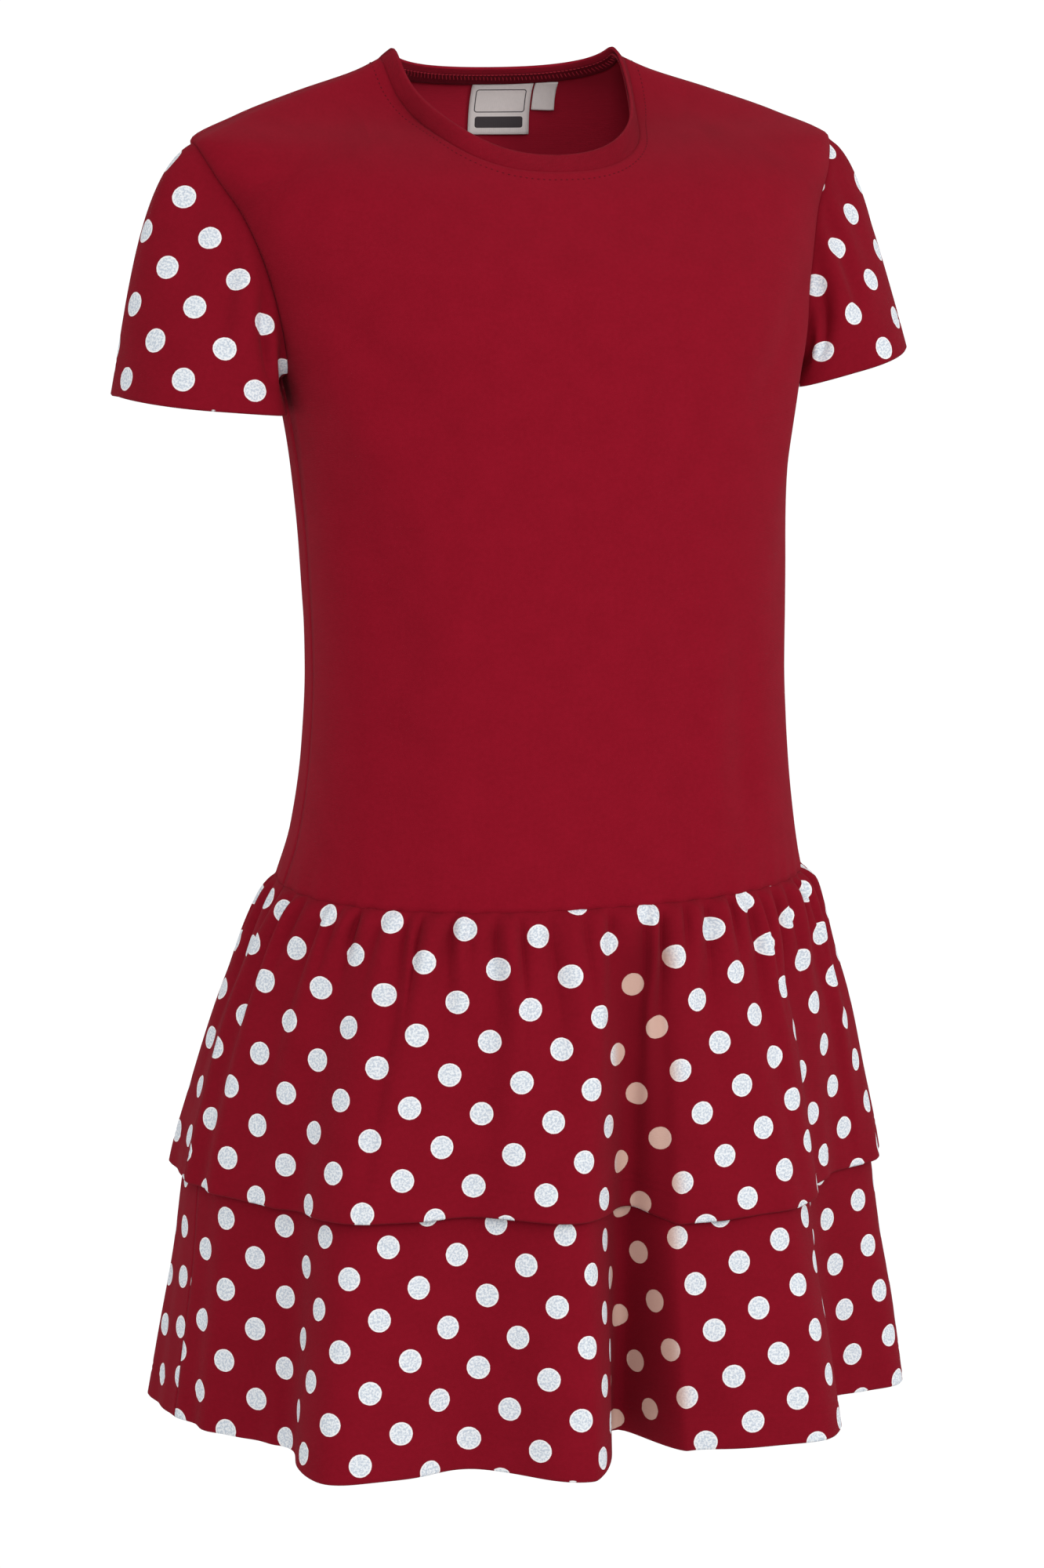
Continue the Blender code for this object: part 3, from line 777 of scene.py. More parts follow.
    def build(self) -> None:
        """Work out both panels, their wall directions and the armholes' and neck's edges."""
        self.grids = {}
        for side in Side:
            points, across = self.panel(side)
            ways = outward_ways(points, closed=False) * -side.value
            ways = self.settle_edges(points, ways)
            creases = self.front_creases if side is Side.FRONT else self.back_creases
            height = crease_field(across, -points[..., 2], creases)
            height = height * smooth_step(self.edge_distance(points) / self.crease_margin)
            height = height + self.puckers_at(points, across)
            self.grids[side] = ClothGrid(points + ways * height[..., None], ways, self.flat(points))
        self.armholes = {sign: self.armhole(column, sign) for column, sign in ((0, -1), (-1, 1))}

    def edge_distance(self, points: np.ndarray) -> np.ndarray:
        """Distance from a panel's side and top edges, along its rows and columns.

        Args:
            points: the panel's points.

        Returns:
            The distance of each point from the nearest of the edges.
        """
        across = lengths_along(points, axis=1)
        sides = np.minimum(across, across[:, -1:] - across)
        up = lengths_along(points, axis=0)
        return np.minimum(sides, up[-1:] - up)

    def puckers_at(self, points: np.ndarray, across: np.ndarray) -> np.ndarray:
        """Tiny puckers that the gathered seam draws into the hip edge.

        Args:
            points: the panel's points.
            across: how far across each lies.

        Returns:
            How far each point moves outwards.
        """
        rise = self.hip_drop + points[..., 2]
        angle = np.arctan2(across, np.abs(points[..., 1]) + self.pucker_depth)
        swing = self.pucker_swing * np.sin(angle * self.pucker_swings)
        wave = np.sin(angle * self.puckers + swing)
        return self.pucker_height * wave * np.exp(-rise / self.pucker_reach)

    def flat(self, points: np.ndarray) -> np.ndarray:
        """Coordinates on the flat cloth: across from the centre, and up from the hip.

        Args:
            points: the panel's points.

        Returns:
            The coordinates of each point.
        """
        across = lengths_along(points, axis=1)
        middle = across[:, self.half_columns:self.half_columns + 1]
        return np.stack([across - middle, lengths_along(points, axis=0)], axis=-1)

    def settle_edges(self, points: np.ndarray, ways: np.ndarray) -> np.ndarray:
        """Give a panel's edges the wall directions that they share with their neighbours.

        Args:
            points: the panel's points.
            ways: its wall directions, changed in place.

        Returns:
            The same directions.
        """
        for column, sign in ((0, -1.0), (-1, 1.0)):
            outward = np.cross(BACKWARDS, np.gradient(points[:, column], axis=0))
            outward *= np.sign(outward[:, :1]) * sign
            ways[:, column] = unit(outward)
        upward = np.cross(np.gradient(points[-1], axis=0), BACKWARDS)
        upward *= np.sign(upward[:, 2:])
        on_shoulder = self.from_centre() >= self.neck_columns
        ways[-1, on_shoulder] = unit(upward[on_shoulder])
        ways[0, :, 2] = 0
        ways[0] = unit(ways[0])
        on_neck = self.from_centre() <= self.neck_columns
        ways[-1, on_neck] = unit(self.neck_rays(points[-1, on_neck]) + UP)
        return ways

    def armhole(self, column: int, sign: int) -> tuple[np.ndarray, np.ndarray]:
        """One armhole's edge, from the underarm up the front, and directions shared by both panels.

        Args:
            column: the panels' column that holds the edge.
            sign: 1 for the wearer's left, -1 for the right.

        Returns:
            The edge's points and wall directions.
        """
        edges = [self.grids[side].points[self.body_rows:, column] for side in Side]
        middle = (edges[0].mean(axis=0) + edges[1].mean(axis=0)) / 2
        directions = []
        for edge in edges:
            ray = edge - middle
            ray[:, 0] = 0
            ray[:, 2] *= self.armhole_flattening
            ray = unit(ray)
            ray[:, 0] = sign * self.armhole_tilt * (1 + ray[:, 2])
            directions.append(unit(ray))
        ends = (directions[0][[0, -1]] + directions[1][[0, -1]]) / 2
        ends[:, 1] = 0
        for direction, side in zip(directions, Side):
            direction[[0, -1]] = unit(ends)
            self.grids[side].ways[self.body_rows:, column] = direction
        loop = np.concatenate([edges[0], edges[1][-2:0:-1]])
        way = np.concatenate([directions[0], directions[1][-2:0:-1]])
        return loop, way

    def neck_loop(self) -> tuple[np.ndarray, np.ndarray]:
        """The neck's seam line, round by the front first.

        Returns:
            Its points and wall directions.
        """
        on_neck = self.from_centre() <= self.neck_columns
        front = self.grids[Side.FRONT]
        back = self.grids[Side.BACK]
        loop = np.concatenate([front.points[-1, on_neck], back.points[-1, on_neck][::-1][1:-1]])
        way = np.concatenate([front.ways[-1, on_neck], back.ways[-1, on_neck][::-1][1:-1]])
        return loop, way

    def drawn_back(self, side: Side) -> ClothGrid:
        """A panel with its side and shoulder edges drawn back by half a seam gap.

        Args:
            side: the panel.

        Returns:
            The panel's grid with its edges moved.
        """
        grid = self.grids[side]
        points = grid.points.copy()
        half = side.value * self.side_gap / 2
        points[:self.body_rows + 1, 0, 1] += half
        points[:self.body_rows + 1, -1, 1] += half
        points[-1, self.from_centre() >= self.neck_columns, 1] += half
        return ClothGrid(points, grid.ways, grid.flat)

    def shoulder_line(self, x: np.ndarray) -> np.ndarray:
        """The shoulder seam's slope.

        Args:
            x: places across.

        Returns:
            The seam's drop at each place.
        """
        drops = np.linspace(self.neck_drop, self.shoulder_drop, self.shoulder_steps)
        half_widths = self.shoulder_inset * read_table(BODICE_LEVELS, "half_width", drops)
        return np.interp(x, half_widths, drops)

    def nearest_ways(self, side: Side, points: np.ndarray) -> np.ndarray:
        """Outward directions of a panel at some places.

        Args:
            side: the panel.
            points: the places.

        Returns:
            The direction at the grid point nearest to each place.
        """
        grid = self.grids[side]
        upper = grid.points[self.body_rows:].reshape(-1, 3)
        apart = np.linalg.norm(upper[None, :, :] - points[:, None, :], axis=2)
        return grid.ways[self.body_rows:].reshape(-1, 3)[apart.argmin(axis=1)]

    def neck_line(self, distance: float) -> tuple[np.ndarray, np.ndarray]:
        """A line round the neck at a distance out from its seam, for a row of stitches.

        Args:
            distance: how far the line lies from the seam.

        Returns:
            Its points and outward directions.
        """
        on_neck = self.from_centre() <= self.neck_columns
        lines = []
        for side in Side:
            edge = self.grids[side].points[-1, on_neck]
            tangent = np.gradient(edge, axis=0)
            out = unit(np.stack([-tangent[:, 2], np.zeros(len(edge)), tangent[:, 0]], axis=-1))
            out *= np.sign(np.sum(out * (edge - UP * self.neck_above), axis=1))[:, None]
            step = np.full(len(edge), distance)
            for _ in range(self.line_rounds):
                x = edge[:, 0] + out[:, 0] * step
                drop = np.maximum(-(edge[:, 2] + out[:, 2] * step), self.shoulder_line(np.abs(x)))
                point = self.surface(side, x, drop)
                step *= distance / np.linalg.norm(point - edge, axis=1)
            lines.append((point, self.nearest_ways(side, point)))
        (front, front_way), (back, back_way) = lines
        return np.concatenate([front, back[::-1]]), np.concatenate([front_way, back_way[::-1]])


# Neck band and the seam inside it

@dataclass
class NeckBand:
    """Narrow folded rib band round the neck, with its overlocked seam inside."""

    width: float = 0.0098
    rise: float = 47.0
    steepening: float = 31.0
    swell: float = 0.0004
    swell_fullness: float = 0.8
    turn_share: float = 0.4
    thickness: float = 0.0017
    rows: int = 12
    seam_gap: float = 0.0003
    smoothing: int = 14
    end_smoothing: float = 0.5
    allowance_thickness: float = 0.0011
    allowance_rows: int = 8
    stitch_distance: float = 0.0058
    loop_pitch: float = 0.0021
    loop_lean: float = 0.40
    loop_stretch: float = 2.3

    def grid(self, bodice: Bodice) -> ClothGrid:
        """Lay out the band from its seam up to its free edge.

        Args:
            bodice: the bodice, with its panels built.

        Returns:
            The band's outer surface.
        """
        loop, way = bodice.neck_loop()
        rays = bodice.neck_rays(loop)
        forward = BODICE_LEVELS[0].side_y - loop[:, 1:2]
        share = np.clip(forward / forward.max(), 0, 1)
        rise = np.radians(self.rise + self.steepening * np.sin(math.pi * share))
        climb = unit(UP * np.sin(rise) - rays * np.cos(rise))
        face = unit(rays * np.sin(rise) + UP * np.cos(rise))
        tangent = np.roll(loop, -1, axis=0) - np.roll(loop, 1, axis=0)
        away = unit(np.cross(tangent, way))
        away *= np.sign(np.sum(away * climb, axis=1))[:, None]
        start = loop + away * self.seam_gap
        rings = []
        ways = []
        for t in np.linspace(0, 1, self.rows):
            bulge = self.swell * math.sin(math.pi * t) ** self.swell_fullness
            ring = start * (1 - t) + loop * t + climb * self.width * t + face * bulge
            rings.append(self.rounded(ring, self.end_smoothing * t))
            turn = smooth_step(np.array(t / self.turn_share))
            ways.append(unit(way * (1 - turn) + face * turn))
        closed = joined(np.array(rings))
        flat = np.stack([lengths_along(closed, axis=1), lengths_along(closed, axis=0)], axis=-1)
        return ClothGrid(np.array(rings), np.array(ways), flat, closed=True)

    def rounded(self, ring: np.ndarray, share: float) -> np.ndarray:
        """A ring drawn smooth along its length.

        Args:
            ring: its points.
            share: how strongly each round of smoothing draws them.

        Returns:
            The smoothed points.
        """
        for _ in range(self.smoothing):
            beside = np.roll(ring, 1, axis=0) + np.roll(ring, -1, axis=0)
            ring = (1 - share) * ring + share * beside / 2
        return ring

    def allowance_grid(self, band: ClothGrid) -> ClothGrid:
        """The overlocked seam allowance, turned up against the inner face of the band.

        Args:
            band: the band's own grid.

        Returns:
            The face of the allowance that lies against the band.
        """
        count = self.allowance_rows
        rings = band.points[:count] - band.ways[:count] * (self.thickness + self.seam_gap)
        return ClothGrid(rings, band.ways[:count], band.flat[:count], closed=True)


# Sleeves

@dataclass
class Sleeve:
    """One short set-in sleeve, from its armhole to its open cuff."""

    name: str
    node: str
    side: int
    cuff_x: float
    cuff_drop: float
    cuff_half_width: float
    cuff_tilt: float
    extra_swell: float
    dots: DotPrint
    cuff_y: float = 0.024
    cuff_half_depth: float = 0.0450
    inner_squareness: float = 5.0
    outer_squareness: float = 2.1
    cuff_skew: float = 0.0030
    back_dip: float = 0.0030
    seam_hold: float = 0.5
    seam_gap: float = 0.0003
    wall: Wall = Wall(hem_depth=0.0150)
    rows: int = 34
    upper_end: float = 0.74
    hem_start: float = 0.76
    crease_start: float = 12.0
    creases: tuple[Crease, ...] = (
        Crease((62, 4), (80, 78), 9.0, -0.0033),
        Crease((88, 10), (98, 90), 8.0, 0.0021),
        Crease((112, 2), (118, 82), 9.0, -0.0042),
        Crease((138, 10), (132, 84), 8.0, 0.0024),
        Crease((34, 4), (46, 70), 11.0, -0.0021),
        Crease((8, 6), (4, 60), 12.0, 0.0015),
        Crease((322, 5), (310, 75), 11.0, -0.0024),
        Crease((284, 4), (272, 80), 9.0, -0.0036),
        Crease((250, 8), (246, 82), 9.0, 0.0023),
        Crease((228, 3), (224, 70), 8.0, -0.0030),
    )

    @staticmethod
    def share_at(angles: np.ndarray, middle: float) -> np.ndarray:
        """How much a guide at one angle counts at angles round the sleeve, in degrees."""
        return np.cos(np.radians(np.clip(wrapped(angles - middle), -90, 90))) ** 2

    def around(self, angles: np.ndarray, column: str) -> np.ndarray:
        """Value of the guides' column at angles round the sleeve."""
        return sum(getattr(row, column) * self.share_at(angles, row.angle) for row in SLEEVE_GUIDES)

    @staticmethod
    def angles_of(loop: np.ndarray) -> np.ndarray:
        """Angles round the sleeve, even by distance: 180 underarm, 90 front, 0 top.

        Args:
            loop: the armhole's points.

        Returns:
            The angle of each point, in degrees.
        """
        count = len(loop)
        half = count // 2
        angles = np.zeros(count)
        halves = ((0, half, HALF_TURN, 0.0), (half, count, FULL_TURN, HALF_TURN))
        for first, last, start, end in halves:
            index = np.arange(first, last + 1) % count
            reach = lengths_along(loop[index], axis=0)
            angles[index[:-1]] = start + (end - start) * (reach / reach[-1])[:-1]
        return angles

    def cuff(self, angles: np.ndarray) -> np.ndarray:
        """The sleeve's open end.

        Args:
            angles: angles round the sleeve, in degrees.

        Returns:
            The cuff's points.
        """
        turn = np.radians(angles)
        power = 2 / np.where(np.cos(turn) < 0, self.inner_squareness, self.outer_squareness)
        across = signed_power(np.cos(turn), power)
        forward = signed_power(np.sin(turn), power)
        return np.stack([
            self.side * (self.cuff_x + self.cuff_half_width * across - self.cuff_skew * forward),
            self.cuff_y - self.cuff_half_depth * forward,
            -self.cuff_drop + self.cuff_tilt * across - self.back_dip * np.maximum(-forward, 0),
        ], axis=-1)

    def grid(self, loop: np.ndarray, loop_way: np.ndarray) -> ClothGrid:
        """Rings of the sleeve from its armhole to its cuff.

        Args:
            loop: the armhole's points.
            loop_way: their wall directions.

        Returns:
            The sleeve's outer surface, with its creases.
        """
        angles = self.angles_of(loop)
        cuff = self.cuff(angles)
        guide = loop.copy()
        swell = self.around(angles, "out") + self.extra_swell * self.share_at(angles, 0.0)
        guide[:, 0] += self.side * swell
        guide[:, 1] -= self.around(angles, "forward")
        guide[:, 2] += self.around(angles, "rise")
        tangent = np.roll(loop, -1, axis=0) - np.roll(loop, 1, axis=0)
        away = unit(np.cross(tangent, loop_way))
        away *= np.sign(np.sum(away * (guide - loop), axis=1))[:, None]
        start = loop + away * self.seam_gap
        upper = np.linspace(0, self.upper_end, self.rows)
        ts = np.concatenate([upper, np.linspace(self.hem_start, 1, self.rows)])[:, None, None]
        rings = (1 - ts) ** 2 * start + 2 * ts * (1 - ts) * guide + ts**2 * cuff
        ways = outward_ways(rings, closed=True)
        ways *= np.sign(np.sum(ways[-1] * (cuff - cuff.mean(axis=0)), axis=1).sum())
        ways[0] = loop_way
        for row, hold in ((1, self.seam_hold), (2, self.seam_hold / 2)):
            ways[row] = unit(ways[row] + loop_way * hold)
        percent = 100 * ts[..., 0]
        height = crease_field(angles[None, :], percent, self.creases)
        height = height * smooth_step(percent / self.crease_start) - hem_grooves(to_last_row(rings))
        return ClothGrid(rings + ways * height[..., None], ways, self.flat(rings), closed=True)

    @staticmethod
    def flat(rings: np.ndarray) -> np.ndarray:
        """Coordinates on the flat cloth: round from the sleeve's top line, and up from the cuff.

        Args:
            rings: the sleeve without its creases.

        Returns:
            The coordinates, with one column more than the rings.
        """
        top = rings.shape[1] // 2
        closed = joined(rings)
        run = lengths_along(closed, axis=1)
        start = np.stack([run - run[:, top:top + 1], to_last_row(closed)], axis=-1)
        return relax_flat(closed, start)


# Ruffles

# Distances of a tier's lowest rows from its edge, close together at the hem's pressed lines
HEM_ROWS = (0.0215, 0.0190, 0.0178, 0.0170, 0.0162, 0.0154, 0.0145, 0.0136,
            0.0128, 0.0120, 0.0110, 0.0090, 0.0060, 0.0035, 0.0015, 0.0)
# Angles at which the front and the back half start, and the steps of a fine half ring
SIDE_SEAMS = (-90.0, 90.0)
FINE_STEPS = 1441


@dataclass(frozen=True)
class RowBand:
    """Evenly spaced rows from one drop to another."""

    first: float
    last: float
    count: int

    def drops(self) -> np.ndarray:
        """Drop of each row."""
        return np.linspace(self.first, self.last, self.count)


@dataclass(frozen=True)
class Wave:
    """One wave of a tier's free edge: how many go round, its phase and its share."""

    count: float
    phase: float
    share: float


@dataclass
class Ruffle:
    """One gathered tier, hung from the hip seam."""

    name: str
    length: float
    on_top: bool
    columns: int
    seed: int
    row_bands: tuple[RowBand, ...]
    dots: dict[Side, DotPrint]
    hip_drop: float = 0.4195
    skirt_length: float = 0.280
    seam_gap: float = 0.0003
    side_gap: float = 0.00006
    roundness: float = 2.3
    square_fade: float = 0.05
    fold_growth: float = 1.15
    even_share: float = 0.65
    flare_radius: float = 0.56
    gathers: int = 60
    gather_height: float = 0.0036
    gather_peak: float = 0.012
    gather_sizes: tuple[float, float] = (0.55, 1.35)
    gather_reaches: tuple[float, float] = (0.6, 1.5)
    gather_shift: float = 0.22
    ridge_height: float = 1.6
    ridge_fullness: float = 0.85
    ridge_sink: float = 0.75
    long_height: float = 0.0021
    long_peak: float = 0.034
    long_swing: float = 1.1
    long_swings: float = 0.7
    flutter: float = 0.0011
    flutter_waves: tuple[Wave, ...] = (Wave(23, 0.8, 1.0), Wave(37, 2.1, 0.7), Wave(14, 4.0, 0.5))
    # Place of the painted shade in the deep front valley: its angle, its width in degrees and the
    # drop over which it grows in
    painted_shade_middle: float = 6.5
    painted_shade_width: float = 6.5
    painted_shade_start: float = 0.030
    wall: Wall = Wall(hem_depth=0.0150)

    def fold_field(self, angles: np.ndarray, column: str) -> np.ndarray:
        """Value of the folds' column, eased from each fold to the next.

        Args:
            angles: angles round the skirt, in degrees.
            column: the name of the wanted column.

        Returns:
            The value at each angle.
        """
        first = SKIRT_FOLDS[0]
        rows = SKIRT_FOLDS + (replace(first, angle=first.angle + FULL_TURN),)
        where = (angles - first.angle) % FULL_TURN + first.angle
        value = np.zeros_like(where)
        for row, following in zip(rows[:-1], rows[1:]):
            share = (where - row.angle) / (following.angle - row.angle)
            inside = (share >= 0) & (share < 1)
            step = smooth_step(share)
            between = getattr(row, column) * (1 - step) + getattr(following, column) * step
            value = np.where(inside, between, value)
        return value

    def ring(self, angles: np.ndarray, drop: float) -> np.ndarray:
        """One level of the tier, without its gathers.

        Args:
            angles: angles round the skirt, in degrees.
            drop: the level, measured down from the hip seam.

        Returns:
            The ring's points.
        """
        turn = np.radians(angles)
        ease = read_table(SKIRT_LEVELS, "upper_ease", drop) if self.on_top else 0.0
        half_width = read_table(SKIRT_LEVELS, "half_width", drop) + ease
        front = read_table(SKIRT_LEVELS, "front", drop)
        back = read_table(SKIRT_LEVELS, "back", drop)
        depth = np.where(np.cos(turn) > 0, front, back) + ease
        squareness = self.roundness + (2.0 - self.roundness) * min(drop / self.square_fade, 1.0)
        x = half_width * signed_power(np.sin(turn), 2 / squareness)
        side_y = read_table(SKIRT_LEVELS, "side_y", drop)
        y = side_y - depth * signed_power(np.cos(turn), 2 / squareness)
        growth = (drop / self.skirt_length) ** self.fold_growth
        out = unit(np.stack([np.sin(turn) / half_width, -np.cos(turn) / depth], axis=-1))
        along = np.stack([-out[:, 1], out[:, 0]], axis=-1)
        rise = self.fold_field(angles, "rise")[:, None]
        lean = self.fold_field(angles, "lean")[:, None]
        move = out * rise + along * lean
        dip = self.fold_field(angles, "upper_dip" if self.on_top else "lower_dip")
        level = -self.hip_drop - self.seam_gap - drop - dip * (drop / self.length) ** 2
        return np.column_stack([x + growth * move[:, 0], y + growth * move[:, 1], level])

    def column_angles(self) -> np.ndarray:
        """Angles of the columns, from even steps round the body towards even steps along the hem.

        Returns:
            The angle of each column, in degrees.
        """
        columns = []
        half = self.columns // 2
        for start in SIDE_SEAMS:
            fine = np.linspace(start, start + HALF_TURN, FINE_STEPS)
            reach = lengths_along(self.ring(fine, self.length), axis=0)
            even = np.interp(np.linspace(0, reach[-1], half + 1), reach, fine)
            plain = np.linspace(start, start + HALF_TURN, half + 1)
            columns.append((self.even_share * even + (1 - self.even_share) * plain)[:-1])
        return np.concatenate(columns)

    def gather_field(self, drop: float) -> np.ndarray:
        """Height of the gathers at one level.

        Args:
            drop: the level, measured down from the hip seam.

        Returns:
            How far each column round the tier moves outwards.
        """
        random = np.random.default_rng(self.seed)
        phase = np.arange(self.columns) / self.columns * self.gathers
        knots = np.arange(self.gathers + 1)
        sizes = random.uniform(*self.gather_sizes, self.gathers + 1)
        sizes[-1] = sizes[0]
        places = knots + random.uniform(-self.gather_shift, self.gather_shift, self.gathers + 1)
        places[0] = 0
        places[-1] = self.gathers
        reaches = random.uniform(*self.gather_reaches, self.gathers + 1)
        reaches[-1] = reaches[0]
        warped = np.interp(phase, places, knots)
        size = np.interp(phase, places, sizes)
        reach = np.interp(phase, places, reaches)
        ridge = np.abs(np.sin(math.pi * warped)) ** self.ridge_fullness
        ridge = self.ridge_height * ridge - self.ridge_sink
        near = self.gather_height * size * ridge * self.swell_at(drop, self.gather_peak * reach)
        swing = self.long_swing * np.sin(warped * self.long_swings)
        long_wave = np.cos(math.pi * warped + swing)
        far = self.long_height * reach * long_wave * self.swell_at(drop, self.long_peak * reach)
        return near + far

    @staticmethod
    def swell_at(drop: float, peak: np.ndarray) -> np.ndarray:
        """A height that grows to one at its peak and dies away below it."""
        share = drop / peak
        return share * np.exp(1 - share)

    def flutter_at(self, angles: np.ndarray, drop: float) -> np.ndarray:
        """Small uneven waves of the free edge.

        Args:
            angles: angles round the skirt, in degrees.
            drop: the level, measured down from the hip seam.

        Returns:
            How far each point moves outwards.
        """
        turn = np.radians(angles)
        waves = sum(wave.share * np.sin(wave.count * turn + wave.phase)
                    for wave in self.flutter_waves)
        return self.flutter * waves * (drop / self.length) ** 3

    def build(self) -> None:
        """Work out the rings of the whole tier and its wall directions."""
        angles = self.column_angles()
        drops = [band.drops() for band in self.row_bands]
        drops = np.concatenate([*drops, self.length - np.array(HEM_ROWS)])
        self.smooth = np.array([self.ring(angles, drop) for drop in drops])
        height = np.array([self.flutter_at(angles, drop) for drop in drops])
        if self.on_top:
            height += np.array([self.gather_field(drop) for drop in drops])
        height -= hem_grooves(to_last_row(self.smooth))
        ways = outward_ways(self.smooth[::-1], closed=True)[::-1]
        self.rings = self.smooth + ways * height[..., None]
        self.ways = outward_ways(self.rings[::-1], closed=True)[::-1]
        self.ways[0, :, 2] = 0
        self.ways[0] = unit(self.ways[0])
        # Mask of the painted shade in the deep valley near the front's middle, growing in below the
        # hip seam
        near_fold = bump(wrapped(angles[None, :] - self.painted_shade_middle), self.painted_shade_width)
        self.hollow = near_fold * smooth_step(drops[:, None] / self.painted_shade_start)

    def half(self, side: Side) -> ClothGrid:
        """The front or back half, drawn back by half a seam gap at both side seams.

        Args:
            side: the half.

        Returns:
            Its outer surface.
        """
        count = self.columns // 2
        start = 0 if side is Side.FRONT else count
        index = np.arange(start, start + count + 1) % self.columns
        points = self.rings[:, index].copy()
        for column, inner in ((0, 1), (-1, -2)):
            points[:, column] += unit(points[:, inner] - points[:, column]) * self.side_gap / 2
        # Only the front half carries the painted shade mask
        hollow = self.hollow[:, index] if side is Side.FRONT else None
        flat = self.flat(self.smooth[:, index])
        return ClothGrid(points, self.ways[:, index], flat, hollow=hollow)

    def flat(self, smooth: np.ndarray) -> np.ndarray:
        """Coordinates on the flat cloth, unrolled as a slightly flared strip from its middle.

        Args:
            smooth: a half of the tier, without its gathers.

        Returns:
            The coordinates of each point.
        """
        middle = smooth.shape[1] // 2
        across = lengths_along(smooth, axis=1)
        across = across - across[:, middle:middle + 1]
        radius = self.flare_radius + lengths_along(smooth, axis=0).mean(axis=1)[:, None]
        turn = across / radius
        down = self.flare_radius - radius * np.cos(turn)
        start = np.stack([radius * np.sin(turn), down], axis=-1)
        return relax_flat(smooth, start)


# Labels

@dataclass
class Label:
    """A woven label that hangs from the neck seam inside the back."""

    name: str
    node: str
    left: float
    width: float
    length: float
    top_drop: float = 0.0178
    thickness: float = 0.0007
    gap: float = 0.0008
    lift: float = 0.0015
    left_lift: float = 0.4
    bow: float = 0.25
    columns: int = 16
    rows: int = 20

    def grid(self, bodice: Bodice) -> ClothGrid:
        """Lay out the label, just off the inner side of the back.

        Args:
            bodice: the bodice.

        Returns:
            The label's face.
        """
        across = np.linspace(self.left, self.left + self.width, self.columns)[None, :]
        down = np.linspace(self.top_drop, self.top_drop + self.length, self.rows)[:, None]
        x, drop = np.broadcast_arrays(across, down)
        points = bodice.surface(Side.BACK, x, drop)
        ways = outward_ways(points, closed=False)
        ways = ways * np.sign(ways[..., 1:2])
        t = np.linspace(0, 1, self.rows)[:, None]
        s = np.linspace(-1, 1, self.columns)[None, :]
        lift = t**2 * (1 - self.left_lift + self.left_lift * s) + self.bow * t * (1 - s**2)
        points = points - ways * (bodice.wall.cloth + self.gap + self.lift * lift)[..., None]
        up = self.top_drop + self.length - drop
        flat = np.stack([x - self.left, up], axis=-1)
        return ClothGrid(points, ways, flat)


# Stitches

@dataclass(frozen=True)
class StitchRow:
    """A row of stitches: their places, directions along and out of the cloth, and their stretch."""

    places: np.ndarray
    tangent: np.ndarray
    out: np.ndarray
    stretch: float = 1.0


@dataclass
class Stitching:
    """Rows of thread stitches, all copies of one modelled stitch."""

    length: float = 0.0024
    width: float = 0.00070
    height: float = 0.00055
    dip: float = 0.8
    pitch: float = 0.0030
    segments: int = 6
    rings: int = 4

    def build(self) -> None:
        """Model one stitch: a small bead drawn long in edit mode, with its ends dipped."""
        bpy.ops.object.select_all(action="DESELECT")
        bpy.ops.mesh.primitive_uv_sphere_add(segments=self.segments, ring_count=self.rings,
                                             radius=0.5)
        bead = bpy.context.active_object
        bpy.ops.object.mode_set(mode="EDIT")
        bpy.ops.mesh.select_all(action="SELECT")
        bpy.ops.transform.rotate(value=math.pi / 2, orient_axis="Y",
                                 center_override=(0.0, 0.0, 0.0))
        bpy.ops.transform.resize(value=(self.length, self.width, self.height))
        bpy.ops.object.mode_set(mode="OBJECT")
        mesh = bead.data
        self.points = np.array([tuple(v.co) for v in mesh.vertices])
        self.points[:, 2] -= self.height * self.dip * (2 * self.points[:, 0] / self.length) ** 2
        self.faces = [list(p.vertices) for p in mesh.polygons]
        bpy.data.objects.remove(bead)
        bpy.data.meshes.remove(mesh)

    @staticmethod
    def row(line: np.ndarray, ways: np.ndarray, pitch: float) -> StitchRow:
        """Even places along a closed line.

        Args:
            line: the line's points.
            ways: the directions out of the cloth at the points.
            pitch: distance from stitch to stitch.

        Returns:
            The row of stitches.
        """
        line = np.concatenate([line, line[:1]])
        ways = np.concatenate([ways, ways[:1]])
        reach = lengths_along(line, axis=0)
        count = max(int(reach[-1] / pitch), 1)
        where = (np.arange(count) + 0.5) * reach[-1] / count
        places = np.stack([np.interp(where, reach, line[:, i]) for i in range(3)], axis=-1)
        out = unit(np.stack([np.interp(where, reach, ways[:, i]) for i in range(3)], axis=-1))
        k = np.clip(np.searchsorted(reach, where) - 1, 0, len(line) - 2)
        tangent = line[k + 1] - line[k]
        tangent = unit(tangent - out * np.sum(tangent * out, axis=1)[:, None])
        return StitchRow(places, tangent, out)

    def sew(self, name: str, rows: Sequence[StitchRow]) -> bpy.types.Object:
        """Join copies of the stitch into one mesh.

        Args:
            name: the new object's name.
            rows: the rows of stitches.

        Returns:
            The new object.
        """
        points = []
        for row in rows:
            across = np.cross(row.out, row.tangent)
            axes = np.stack([row.tangent * row.stretch, across, row.out], axis=1)
            moved = row.places[:, None, :] + np.einsum("vi,nij->nvj", self.points, axes)
            points.append(moved.reshape(-1, 3))
        points = np.concatenate(points)
        bases = range(0, len(points), len(self.points))
        faces = [[base + corner for corner in face] for base in bases for face in self.faces]
        corners = [corner for face in faces for corner in face]
        return add_piece(name, points, faces, {"cloth": points[corners][:, [0, 2]]})


# Finishes

